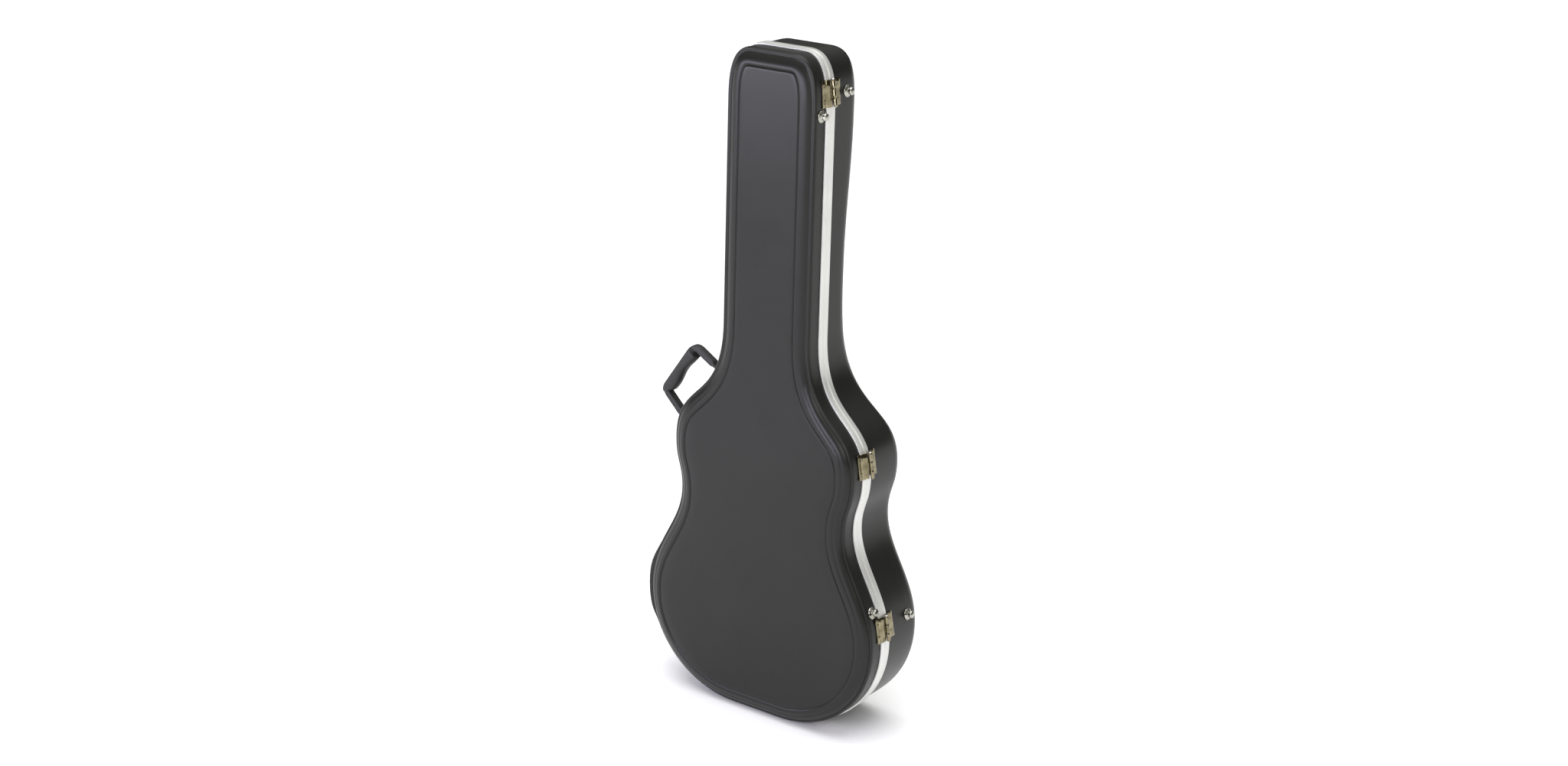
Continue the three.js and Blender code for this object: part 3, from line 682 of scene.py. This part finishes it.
def axis_frame(z):
    """On the lid's axis near height z, and how far the axis stands off the wall there."""
    s = station_at(z)
    out = (math.cos(HINGE_TILT), math.sin(HINGE_TILT))
    offset = (HINGE_TOP[0] - s.x) * out[0] + (HINGE_TOP[1] - s.z) * out[1]
    origin = (s.x + out[0] * offset, 0, s.z + out[1] * offset)
    return Matrix.Translation(origin) @ Matrix.Rotation(-HINGE_TILT, 4, "Y"), offset


# ---- hinges ----

SEAT = -2.2
SHEET = 1.2
LEAF_HALF = 20
KNUCKLE_SPLIT = 7
CURL_RADIUS = 2.35
KNUCKLE_GAP = 0.3
FAR_EDGE = {"base": 25.0, "lid": 20.5}
RIVET_LINE = {"base": 17.5, "lid": 15.6}
RIVET_SPREAD = 10

# The section's first rows make the plate; the last of them is shared with the curls.
PLATE_ROWS = 11


def leaf_section(far, offset):
    """The bent sheet from its far edge on the wall to its curl round the pin.

    Each point is x, y and how far it follows the lid's axis instead of the wall.
    """
    flat = SEAT + SHEET / 2
    over = 0.3 + SHEET / 2
    section = [(flat, far + (13.4 - far) * k / 3, 0.0) for k in range(4)]
    section += [(flat + 0.25, 12.7, 0.0), (flat + 1.1, 12.2, 0.0), (over - 0.4, 11.8, 0.05)]
    section += [(over, 11.0, 0.1), (over + 0.1, 8.5, 0.3)]
    low = offset - CURL_RADIUS
    section += [(over + (low - over) * 0.3, 5.5, 0.6), (over + (low - over) * 0.75, 3.0, 0.9)]
    for k in range(15):
        angle = math.radians(-22 * k)
        section.append((
            offset - CURL_RADIUS * math.cos(angle), CURL_RADIUS * math.sin(angle), 1.0,
        ))
    return section


def leaf_strip(section, side, wall, axis, offset, z0, z1):
    """A strip of the sheet between two heights, as one open surface."""
    rows = []
    for x, y, share in section:
        row = []
        for z in np.linspace(z0, z1, 5):
            on_wall = wall @ Vector((x, side * y, z))
            on_axis = axis @ Vector((x - offset, side * y, z))
            row.append(tuple(on_wall.lerp(on_axis, share)))
        rows.append(row)
    return skin(rows)


def thicken(obj, thickness, rounding):
    """Gives an open surface the thickness of its sheet and breaks its edges."""
    sheet = obj.modifiers.new("sheet_thickness", "SOLIDIFY")
    sheet.thickness = thickness * MM
    sheet.offset = 0
    sheet.use_even_offset = True
    rounded = obj.modifiers.new("rounded_edges", "BEVEL")
    rounded.width = rounding * MM
    rounded.segments = 2
    rounded.limit_method = "ANGLE"
    rounded.angle_limit = math.radians(50)


def make_hinge(place, z):
    """Two bent leaves with their rivets, and the rod through their curls."""
    wall = wall_frame(z, 1)
    axis, offset = axis_frame(z)
    outer_curl = KNUCKLE_SPLIT + KNUCKLE_GAP
    for side, body, spans in (
        (1, "base", ((-LEAF_HALF, -outer_curl), (outer_curl, LEAF_HALF))),
        (-1, "lid", ((-KNUCKLE_SPLIT, KNUCKLE_SPLIT),)),
    ):
        section = leaf_section(FAR_EDGE[body], offset)
        parts = [leaf_strip(section[:PLATE_ROWS], side, wall, axis, offset, -LEAF_HALF, LEAF_HALF)]
        for z0, z1 in spans:
            parts.append(leaf_strip(section[PLATE_ROWS - 1:], side, wall, axis, offset, z0, z1))
        leaf = piece(
            f"hinge_{body}_plate_{place}", parts, NICKEL_PAINTED_DARK_REFLECTION, body,
            [f"hinge_{body}_leaf_{place}"], sharp=60,
        )
        thicken(leaf, SHEET, 0.25)
        line = side * RIVET_LINE[body]
        rivets = [
            rivet(wall @ spaced(SEAT + SHEET, line, h)) for h in (-RIVET_SPREAD, RIVET_SPREAD)
        ]
        piece(f"hinge_{body}_rivets_{place}", rivets, NICKEL_PAINTED_DARK_REFLECTION, body)
    end = LEAF_HALF + 0.5
    pin = turned([
        (0, -end - 0.5), (1.1, -end - 0.4), (1.4, -end), (1.4, end), (2.3, end), (2.3, end + 0.6),
        (1.7, end + 1.2), (0, end + 1.3),
    ], sides=24, axis="Z")
    piece(
        f"hinge_rod_{place}", [moved(pin, axis)], PIN_STEEL, "base",
        [f"hinge_pin_{place}"],
    )


for hinge_place, hinge_height in (
    ("upper", HINGE_TOP[1]), ("middle", 454), ("lower", HINGE_LOW[1]),
):
    make_hinge(hinge_place, hinge_height)

# ---- glides ----


def make_glide(body, place_name, z, y):
    """A chrome glide: a pressed cup with a rolled flange, a neck and a domed foot."""
    profile = [
        (0, 0), (9.1, 0), (9.4, 0.25), (9.4, 0.8), (9.1, 1.2), (8.4, 1.7), (7.4, 2.3), (6.3, 2.8),
        (5.4, 3.2), (4.9, 3.7), (4.8, 4.2), (5.1, 4.8), (5.7, 5.6), (6.1, 6.5), (6.2, 7.4),
        (6.0, 8.4), (5.4, 9.4), (4.4, 10.3), (3.0, 10.9), (1.5, 11.15), (0, 11.2),
    ]
    place = wall_frame(z, 1) @ spaced(SEAT, y, 0)
    piece(
        f"{body}_glide_{place_name}", [moved(turned(profile, 56), place)], CHROME_PAINTED_DARK_REFLECTION, body,
        [f"foot_{body}_{place_name}"],
    )


make_glide("lid", "head", 979, -21)
make_glide("lid", "bout", 227, -21)
make_glide("base", "head", 1007, 45)
make_glide("base", "bout", 196, 68)

# ---- draw latches ----

PLATE_TOP = SEAT + 1.2
PIVOT = (3.2, 17.5)
HOOK = (3.6, 26.5)
BAIL_TIP = -17
BAIL_HALF = 15.6
BAIL_CORNER = 4
BAIL_END_CORNER = 1.6
WIRE = 1.2
LEVER_HALF = 9.6
LOCK_Y = 35.5


def latch_plate_parts(place):
    """The plate on the base, with two ears for the lever's pin."""
    plate = slab(rounded_rectangle(11.8, 50, -14, 14, 3.5), SEAT, PLATE_TOP, "X")
    ears = []
    for low, high in ((-12, -10.2), (10.2, 12)):
        outline = [(PLATE_TOP - 0.6, 13.5), (PLATE_TOP - 0.6, 21.2), (PIVOT[0], 20.9)]
        outline += arc(PIVOT[0], PIVOT[1], 3.2, 90, -90, 10)[1:]
        ears.append(slab(outline, low, high, "Z"))
    rivets = [rivet(spaced(PLATE_TOP, 46.5, h)) for h in (-9.5, 9.5)]
    rivets.append(rivet(spaced(PLATE_TOP, 14.4, 0), 1.9, 0.8))
    return [moved(part, place) for part in (plate, *ears, *rivets)]


def lever_parts(place):
    """The lever's pressed cover: barrels at its two pins and a plate that lifts at its tip."""
    x, y = HOOK
    section = arc(PIVOT[0], PIVOT[1], 3.4, 180, 360, 12)
    section += [(x + 3.3, 20), (x + 3.4, 27), (x + 3.3, 36), (x + 3.3, 41), (x + 3.9, 44.5)]
    section += [(x + 5.6, 47.6), (x + 7.0, 49.0), (x + 6.0, 49.8), (x + 4.2, 48.4), (x + 2.3, 45.2)]
    section += [(x + 1.6, 42), (x + 1.5, 33)]
    section += arc(x, y, 3.3, 60, 180, 8)
    section += [(x - 2.9, 24.4), (PIVOT[0] - 2.6, 19.7)]
    return [moved(slab(section, -LEVER_HALF, LEVER_HALF, "Z"), place)]


def bail_part(place):
    """A wire loop from the lever's barrel to the lip of the strike."""
    half = BAIL_HALF - WIRE
    centre = []
    spans = ((half, HOOK[1]), (half, BAIL_TIP), (-half, BAIL_TIP), (-half, HOOK[1]))
    for k, (z, y) in enumerate(spans):
        before, after = Vector(spans[k - 1]), Vector(spans[(k + 1) % 4])
        here = Vector((z, y))
        reach = BAIL_CORNER if y == BAIL_TIP else BAIL_END_CORNER
        entry = here + (before - here).normalized() * reach
        leave = here + (after - here).normalized() * reach
        for step in range(7):
            t = step / 6
            centre.append(entry * (1 - t) ** 2 + here * 2 * t * (1 - t) + leave * t * t)
    count = len(centre)
    rows = []
    for k in range(count):
        along = (centre[(k + 1) % count] - centre[k - 1]).normalized()
        across = Vector((-along.y, along.x))
        row = []
        for turn in range(12):
            angle = 2 * math.pi * turn / 12
            spot = centre[k] + across * (WIRE * math.cos(angle))
            row.append((HOOK[0] + WIRE * math.sin(angle), spot.y, spot.x))
        rows.append(row)
    return moved(skin(rows, close_rows=True, close_columns=True), place)


def strike_parts(place):
    """The plate on the lid, with the lip that the wire loop lies over."""
    plate = slab(rounded_rectangle(-29, -11.8, -13, 13, 3), SEAT, PLATE_TOP, "X")
    lip_top = HOOK[0] - WIRE - 0.4
    lip = [(SEAT + 0.4, -12.2), (lip_top - 1, -12.2), (lip_top, -13.2), (lip_top, -18.4)]
    lip += [(lip_top - 0.8, -19.7), (SEAT + 0.4, -20)]
    rivets = [rivet(spaced(PLATE_TOP, -24.8, h)) for h in (-7.5, 7.5)]
    return [moved(part, place) for part in (plate, slab(lip, -10, 10, "Z"), *rivets)]


def make_latch(place_name, z, lift=0.0, locking=False):
    """A draw latch: plate, rod, lever, wire loop and catch, and on one of them a lock."""
    place = wall_frame(z, -1, lift)
    piece(
        f"latch_base_{place_name}", latch_plate_parts(place), CHROME_PAINTED_DARK_REFLECTION, "base",
        [f"latch_plate_{place_name}"], bevel=0.3,
    )
    pin = turned([(0, -12.6), (1.1, -12.5), (1.4, -12.1), (1.4, 12.1), (1.1, 12.5), (0, 12.6)], 20, "Z")
    piece(
        f"latch_rod_{place_name}", [moved(pin, place @ spaced(*PIVOT, 0))], PIN_STEEL, "base",
        [f"latch_pin_{place_name}"],
    )
    piece(
        f"latch_cover_{place_name}", lever_parts(place), CHROME_PAINTED_DARK_REFLECTION,
        f"lever_{place_name}", [f"latch_lever_{place_name}"], bevel=0.5,
    )
    piece(
        f"latch_wire_{place_name}", [bail_part(place)], PIN_STEEL, f"bail_{place_name}",
        [f"latch_bail_{place_name}"],
    )
    piece(
        f"latch_catch_{place_name}", strike_parts(place), CHROME_PAINTED_DARK_REFLECTION, "lid",
        [f"latch_strike_{place_name}"], bevel=0.3,
    )
    if locking:
        make_lock(place @ spaced(0, LOCK_Y, 0), f"lever_{place_name}")


def make_lock(place, lever):
    """A brass plug with a keyway, in a chrome rim on the lever's face; the keyway is a thin dark sheet
    of painted shade, not a cut slot.
    """
    face = HOOK[0] + 3.3
    rim = turned([
        (4.9, face - 0.2), (4.9, face + 0.5), (4.5, face + 0.8), (3.8, face + 0.8), (3.8, face - 0.2),
    ], 40)
    piece("lock_escutcheon", [moved(rim, place)], CHROME_PAINTED_DARK_REFLECTION, lever, bevel=0.1)
    plug = turned([
        (0, face - 1), (3.5, face - 1), (3.5, face + 0.3), (3.2, face + 0.55), (0, face + 0.6),
    ], 40)
    piece("lock_barrel", [moved(plug, place)], LOCK_BRASS, "lock", ["lock_plug"])
    # Painted shade: a thin dark sheet on the plug's face stands for the keyway's slot.
    keyway_painted_shade = slab(rounded_rectangle(-2.3, 2.3, -0.55, 0.55, 0.5), face + 0.5, face + 0.72, "X")
    piece("lock_keyway_painted_shade", [moved(keyway_painted_shade, place)], GRIP_ABS, "lock")


make_latch("head", 950)
make_latch("neck", 700)
make_latch("waist", 388, 1)
make_latch("bout", 172, 5.5, True)

# ---- handle ----

HANDLE_Y = 20
UPPER_PIVOT, LOWER_PIVOT = Vector((-125.5, 537.5)), Vector((-186, 437))
UPPER_CORNER, LOWER_CORNER = Vector((-173.5, 566.5)), Vector((-232, 482.5))
CORNER_RADIUS = 13
ARM_THICKNESS, ARM_WIDTH = 11, 14
NECK_THICKNESS, NECK_LENGTH, NECK_FLARE = 5, 9, 5
GRIP_THICKNESS, GRIP_WIDTH = 20, 24
GRIP_FROM, GRIP_TO, GRIP_BLEND = 0.27, 0.735, 0.02
WAVE_HEIGHT, WAVE_SHIFT, WAVE_START = 2.0, 0.6, 0.9
EAR_REACH = 14
BRACKET_SHEET = 1.4
# Place, pin, height on the wall, and how far the plate is packed out from its seat.
BRACKETS = (("lower", LOWER_PIVOT, 429, 0), ("upper", UPPER_PIVOT, 529, 1.2))
HANDLE_TILT = math.atan2(UPPER_PIVOT.x - LOWER_PIVOT.x, UPPER_PIVOT.y - LOWER_PIVOT.y)
HANDLE_AXIS = Matrix.Rotation(HANDLE_TILT, 4, "Y")


def handle_line():
    """The handle's middle line from the lower pin to the upper one, with round corners."""
    points = []

    def run(start, end, steps):
        points.extend(start.lerp(end, k / steps) for k in range(steps))

    corners = (
        (LOWER_PIVOT, LOWER_CORNER, UPPER_CORNER),
        (LOWER_CORNER, UPPER_CORNER, UPPER_PIVOT),
    )
    start = LOWER_PIVOT
    for before, corner, after in corners:
        entry = corner + (before - corner).normalized() * CORNER_RADIUS
        leave = corner + (after - corner).normalized() * CORNER_RADIUS
        run(start, entry, 16)
        for k in range(12):
            t = k / 12
            points.append(entry * (1 - t) ** 2 + corner * 2 * t * (1 - t) + leave * t * t)
        start = leave
    run(start, UPPER_PIVOT, 16)
    points.append(UPPER_PIVOT.copy())
    return points


def make_handle():
    """A moulded handle: flat arms that swell into an oval grip with a waved finger side."""
    line = handle_line()
    lengths = [0.0]
    for before, after in zip(line, line[1:]):
        lengths.append(lengths[-1] + (after - before).length)
    total = lengths[-1]
    rows = []
    for k, point in enumerate(line):
        along = (line[min(k + 1, len(line) - 1)] - line[max(k - 1, 0)]).normalized()
        outward = Vector((-along.y, along.x))
        share = lengths[k] / total
        grip = ease((share - GRIP_FROM) / GRIP_BLEND) * ease((GRIP_TO - share) / GRIP_BLEND)
        reach = min(lengths[k], total - lengths[k])
        neck = min(max((reach - NECK_LENGTH) / NECK_FLARE, 0), 1)
        strap = NECK_THICKNESS + (ARM_THICKNESS - NECK_THICKNESS) * neck
        across = ARM_WIDTH + (GRIP_WIDTH - ARM_WIDTH) * grip
        span = (share - GRIP_FROM) / (GRIP_TO - GRIP_FROM)
        wave = WAVE_HEIGHT * math.sin(span * math.pi * 3.0 - WAVE_START) - WAVE_SHIFT
        outer = strap / 2
        inner = outer + grip * (GRIP_THICKNESS - ARM_THICKNESS + wave)
        row = []
        for turn in range(32):
            angle = 2 * math.pi * turn / 32
            power = 0.42 + 0.42 * grip
            a = math.copysign(abs(math.cos(angle)) ** power, math.cos(angle))
            b = math.copysign(abs(math.sin(angle)) ** power, math.sin(angle))
            out = a * (outer if a > 0 else inner)
            row.append((
                point.x + outward.x * out, HANDLE_Y + b * across / 2, point.y + outward.y * out,
            ))
        rows.append(row)
    body, faces = skin(rows, close_columns=True)
    count = len(rows[0])
    faces.append(list(range(count)))
    faces.append([len(body) - count + k for k in range(count)])
    parts = [(body, faces)]
    for pivot in (LOWER_PIVOT, UPPER_PIVOT):
        eye = turned([
            (2.0, -4.2), (4.8, -4.2), (5.2, -3.8), (5.2, 3.8), (4.8, 4.2), (2.0, 4.2),
        ], 32, "Z")
        parts.append(moved(eye, Matrix.Translation((pivot.x, HANDLE_Y, pivot.y)) @ HANDLE_AXIS))
    piece("handle_moulding", parts, GRIP_ABS, "handle", ["handle_grip"], sharp=40)


def make_handle_fittings():
    """At each end of the handle, a plate on the wall with two ears that hold the handle's pin."""
    for place_name, pivot, wall_z, lift in BRACKETS:
        wall = wall_frame(wall_z, -1)
        seat = SEAT + lift
        top = seat + BRACKET_SHEET
        plate = moved(slab(rounded_rectangle(12, 28, -13, 13, 3), seat, top, "X"), wall)
        pin_place = Matrix.Translation((pivot.x, HANDLE_Y, pivot.y)) @ HANDLE_AXIS
        ears = []
        for low, high in ((-6.5, -4.5), (4.5, 6.5)):
            outline = [(EAR_REACH, -5), (EAR_REACH, 5), (0, 5)]
            outline += arc(0, 0, 4.6, 100, 260, 12) + [(0, -5)]
            ears.append(moved(slab(outline, low, high, "Z"), pin_place))
        rivets = [rivet(wall @ spaced(top, HANDLE_Y, h), 2.2, 1.0) for h in (-10, 10)]
        piece(
            f"handle_plate_{place_name}", [plate, *ears, *rivets], CHROME_PAINTED_DARK_REFLECTION, "base",
            [f"handle_bracket_{place_name}"], bevel=0.3,
        )
        pin = turned([(0, -7.3), (1.2, -7.2), (1.5, -6.9), (1.5, 6.9), (1.2, 7.2), (0, 7.3)], 20, "Z")
        piece(
            f"handle_rod_{place_name}", [moved(pin, pin_place)], PIN_STEEL, "base",
            [f"handle_pin_{place_name}"],
        )


make_handle()
make_handle_fittings()

# ---- inside ----

LINER_INSET = 7.2
LINER_BACK = 3.6
LINER_RIM = 3.5
LINER_CORNER = 10
CREST = 2.3


def liner_rings(side, wall, floor, edge, depth_at):
    """A foam tub under plush: rounded rim, soft walls and a floor that follows the shell's depth."""

    def floor_at(z):
        return depth_at(z) - LINER_BACK - floor

    outer = [
        ring(constant(32.1), lambda s: depth_at(s.z) - LINER_BACK, side),
        ring(constant(LINER_INSET + 1), lambda s: depth_at(s.z) - LINER_BACK - edge, side),
        ring(constant(LINER_INSET), constant(LINER_RIM), side),
    ]
    half = wall / 2
    rim = []
    for step in range(9):
        angle = math.pi * step / 8
        rim.append(ring(
            lambda s, a=angle: LINER_INSET + half - half * math.cos(a),
            lambda s, a=angle: LINER_RIM - CREST * math.sin(a), side,
        ))
    inside = LINER_INSET + wall
    walls = []
    for part in (0.2, 0.4, 0.6, 0.8, 1.0):
        walls.append(ring(
            lambda s, k=part: inside - math.sin(math.pi * k),
            lambda s, k=part: LINER_RIM + k * (floor_at(s.z) - LINER_CORNER - LINER_RIM), side,
        ))
    corner = []
    for step in range(1, 6):
        angle = math.pi / 2 * step / 5
        corner.append(ring(
            lambda s, a=angle: inside + LINER_CORNER * (1 - math.cos(a)),
            lambda s, a=angle: floor_at(s.z) - LINER_CORNER * (1 - math.sin(a)), side,
        ))
    floor_rows = filled(corner[-1], floor_at, constant(0), side, PANEL_SHARES)
    back = filled(
        outer[0], lambda z: depth_at(z) - LINER_BACK, constant(0), side, (1.0, 0.6, 0.3),
    )
    return back + outer + rim + walls + corner + floor_rows


def make_liners():
    """The two plush tubs, one in each shell."""
    for name, node, side, wall, edge, depth_at, body in (
        ("base_plush_lining", "base_liner", 1, 12, 25, base_depth, "base"),
        ("lid_plush_lining", "lid_liner", -1, 7, 14, lid_crown, "lid"),
    ):
        rings = liner_rings(side, wall, wall, edge, depth_at)
        tub = piece(name, [skin(rings, close_columns=True)], PLUSH, body, [node], sharp=70)


# Pads are drawn this much smaller all round, and swell by it at most.
PUFF = 1.5


def padded_block(name, node, parts):
    """A foam block covered in plush: swollen by a cloth simulation, then smoothed."""
    block = piece(name, parts, PLUSH, "base", [node], sharp=180)
    inflate(block, PUFF)
    soft = block.modifiers.new("soft", "SUBSURF")
    soft.levels = soft.render_levels = 1


def inflate(obj, cap_mm):
    """Voxel remesh, cloth pressure and a cap on how far a point may move."""
    bpy.context.view_layer.objects.active = obj
    remesh = obj.modifiers.new("remesh", "REMESH")
    remesh.mode = "VOXEL"
    remesh.voxel_size = 4 * MM
    bpy.ops.object.modifier_apply(modifier=remesh.name)
    rest = [v.co.copy() for v in obj.data.vertices]
    cloth = obj.modifiers.new("swell", "CLOTH")
    cloth.settings.quality = 5
    cloth.settings.use_pressure = True
    cloth.settings.uniform_pressure_force = 4
    cloth.settings.effector_weights.gravity = 0
    cloth.settings.tension_stiffness = 15
    cloth.settings.compression_stiffness = 15
    for number in range(1, 21):
        bpy.context.scene.frame_set(number)
    bpy.ops.object.modifier_apply(modifier=cloth.name)
    for vertex, start in zip(obj.data.vertices, rest):
        shift = vertex.co - start
        if shift.length > cap_mm * MM:
            vertex.co = start + shift.normalized() * (cap_mm * MM)
    bpy.context.scene.frame_set(1)
    obj.data.shade_smooth()


def cradle_outline(shrink):
    """The cradle's front outline in x and y, with the round notch for the neck."""
    half, top, bottom, notch = 62 - shrink, 6 + shrink, 64 - shrink, 30 + shrink
    outline = [(half - 12, bottom), (half, bottom - 16), (half, top)]
    outline += arc(0, 10, notch, 0, 180, 16)
    outline += [(-half, top), (-half, bottom - 16), (-half + 12, bottom)]
    return outline


CRADLE_LOW, CRADLE_HIGH = 564, 592
HEAD_PAD_LOW, HEAD_PAD_HIGH = 866, 902
HEAD_PAD_HALF, HEAD_PAD_FRONT, HEAD_PAD_BACK = 44, 36, 60


def make_pads():
    """The neck cradle and the pad under the headstock."""
    cradle = slab(cradle_outline(PUFF), CRADLE_LOW + PUFF, CRADLE_HIGH - PUFF, "Z")
    padded_block("neck_cradle_pad", "neck_cradle", [cradle])
    outline = rounded_rectangle(
        PUFF - HEAD_PAD_HALF, HEAD_PAD_HALF - PUFF, HEAD_PAD_FRONT + PUFF, HEAD_PAD_BACK - PUFF, 4,
    )
    pad = slab(outline, HEAD_PAD_LOW + PUFF, HEAD_PAD_HIGH - PUFF, "Z")
    padded_block("headstock_rest_pad", "headstock_pad", [pad])


BOX_LOW, BOX_HIGH, BOX_HALF, BOX_TOP, BOX_BOTTOM, BOX_WALL = 600, 768, 53, 21, 52.5, 4
FLAP_AXIS = (-55, 18.7)
BOX_KNUCKLES = ((610, 639.7), (728.3, 758))
FLAP_KNUCKLE = (640.2, 727.8)
FLAP_FRONT, FLAP_BACK = 16.6, 20.6


def flap_knuckle(low, high):
    """A tube round the flap's axis, between two heights."""
    tube = turned([(1.7, 0), (2.4, 0), (2.4, 1), (1.7, 1)], 24, "Z")
    return moved(tube, spaced(*FLAP_AXIS, low) @ Matrix.Diagonal((1, 1, high - low, 1)))


def make_box():
    """The plush-covered box, with two knuckles for its flap."""
    wall = BOX_WALL
    outer = rounded_rectangle(-BOX_HALF, BOX_HALF, BOX_LOW, BOX_HIGH, 3)
    inner = rounded_rectangle(wall - BOX_HALF, BOX_HALF - wall, BOX_LOW + wall, BOX_HIGH - wall, 2)
    rows = [
        [(x, y, z) for x, z in edge] for edge, y in (
            (inner, BOX_BOTTOM - wall), (inner, BOX_TOP + 1), (inner, BOX_TOP), (outer, BOX_TOP),
            (outer, BOX_TOP + 1), (outer, BOX_BOTTOM),
        )
    ]
    points, faces = skin(rows, close_columns=True)
    count = len(outer)
    faces.append(list(range(count)))
    faces.append([len(points) - count + k for k in range(count)])
    barrels = []
    for z0, z1 in BOX_KNUCKLES:
        barrels.append(flap_knuckle(z0, z1))
        strap = slab([(-57.2, z0), (-53.2, z0), (-53.2, z1), (-57.2, z1)], 19.4, 26, "Y")
        barrels.append(strap)
    piece(
        "accessory_box_covered", [(points, faces), *barrels], PLUSH, "base",
        ["accessory_box"], sharp=40, bevel=0.6,
    )


def make_flap():
    """The plush-covered flap, its ribbon tab and the rod that it turns on."""
    flap = slab(
        rounded_rectangle(3 - BOX_HALF, BOX_HALF, BOX_LOW + 0.5, BOX_HIGH - 0.5, 4),
        FLAP_FRONT, FLAP_BACK, "Y",
    )
    z0, z1 = FLAP_KNUCKLE
    bridge = slab([(-54.6, z0), (-49, z0), (-49, z1), (-54.6, z1)], 17.8, 19.6, "Y")
    board = piece(
        "compartment_flap_covered", [flap, flap_knuckle(z0, z1), bridge], PLUSH, "compartment",
        ["compartment_lid"], sharp=40, bevel=0.9,
    )
    middle = (BOX_LOW + BOX_HIGH) / 2
    tab_line = [(39, 16.2), (46, 15.9), (52, 15.7), (56, 15.8), (59, 16.1), (61, 15.8)]
    rows = [[(x, y - 0.45, middle + z) for z in (-7, -3.5, 0, 3.5, 7)] for x, y in tab_line]
    tab = piece(
        "compartment_ribbon_tab", [skin(rows)], RIBBON, "compartment",
        ["compartment_pull_tab"], sharp=70,
    )
    thicken(tab, 0.8, 0.15)
    pin = turned([(0, 608), (1.2, 608.1), (1.4, 608.5), (1.4, 759.5), (1.2, 759.9), (0, 760)], 16, "Z")
    piece(
        "compartment_rod", [moved(pin, spaced(*FLAP_AXIS, 0))], PIN_STEEL, "base",
        ["compartment_hinge_pin"],
    )


make_liners()
make_pads()
make_box()
make_flap()

# ---- studio ----


FLOOR_HALF = 150.0


def make_floor():
    """A white floor that runs to the horizon."""
    far = FLOOR_HALF
    corners = [(-far, -far, 0), (far, -far, 0), (far, far, 0), (-far, far, 0)]
    mesh = bpy.data.meshes.new("studio_floor")
    mesh.from_pydata(corners, [], [(0, 1, 2, 3)])
    floor = bpy.data.objects.new("studio_floor", mesh)
    bpy.context.scene.collection.objects.link(floor)
    mesh.materials.append(FLOOR_PAINT)


def softbox(name, place, aim, width, height, power, colour):
    """A rectangular light with no visible shape of its own, turned towards a point."""
    data = bpy.data.lights.new(name, "AREA")
    data.shape = "RECTANGLE"
    data.size, data.size_y = width, height
    data.energy = power
    data.color = srgb(colour)[:3]
    lamp = bpy.data.objects.new(name, data)
    lamp.location = place
    lamp.rotation_euler = (Vector(aim) - Vector(place)).to_track_quat("-Z", "Y").to_euler()
    lamp.visible_camera = False
    bpy.context.scene.collection.objects.link(lamp)


def make_world():
    """Surroundings that are dim grey near the horizon and white overhead.

    The dim part gives the metals dark reflections. A low camera sees it as a dark backdrop.
    """
    world = bpy.data.worlds.new("studio_white")
    bpy.context.scene.world = world
    world.use_nodes = True
    tree = world.node_tree
    tree.nodes.clear()
    direction = add(tree, "ShaderNodeTexCoord").outputs["Generated"]
    height = add(tree, "ShaderNodeSeparateXYZ", {"Vector": direction}).outputs["Z"]
    ramp = add(tree, "ShaderNodeValToRGB", {"Fac": height})
    ramp.color_ramp.elements[0].position = 0.15
    ramp.color_ramp.elements[0].color = srgb("#585852")
    ramp.color_ramp.elements[1].position = 0.75
    ramp.color_ramp.elements[1].color = srgb("#ffffff")
    background = add(tree, "ShaderNodeBackground", {
        "Color": ramp.outputs["Color"], "Strength": 0.6,
    })
    add(tree, "ShaderNodeOutputWorld", {"Surface": background.outputs["Background"]})


def ceiling_light(strength, spread):
    """Even light from the whole ceiling, so that the white floor stays white into the distance."""
    data = bpy.data.lights.new("ceiling_light", "SUN")
    data.energy = strength
    data.angle = math.radians(spread)
    lamp = bpy.data.objects.new("ceiling_light", data)
    lamp.location = (0, 0, 3)
    bpy.context.scene.collection.objects.link(lamp)


make_floor()
make_world()
ceiling_light(strength=2.6, spread=60)
softbox(
    "front_softbox", place=(-0.8, -2.3, 0.88), aim=(0, 0, 0.88), width=3.4, height=0.46,
    power=60, colour="#eeeaff",
)
softbox(
    "key_softbox", place=(1.9, -1.5, 1.7), aim=(0, 0, 0.5), width=1.1, height=1.1,
    power=14, colour="#fffdf6",
)
bpy.context.scene.view_settings.view_transform = "Standard"
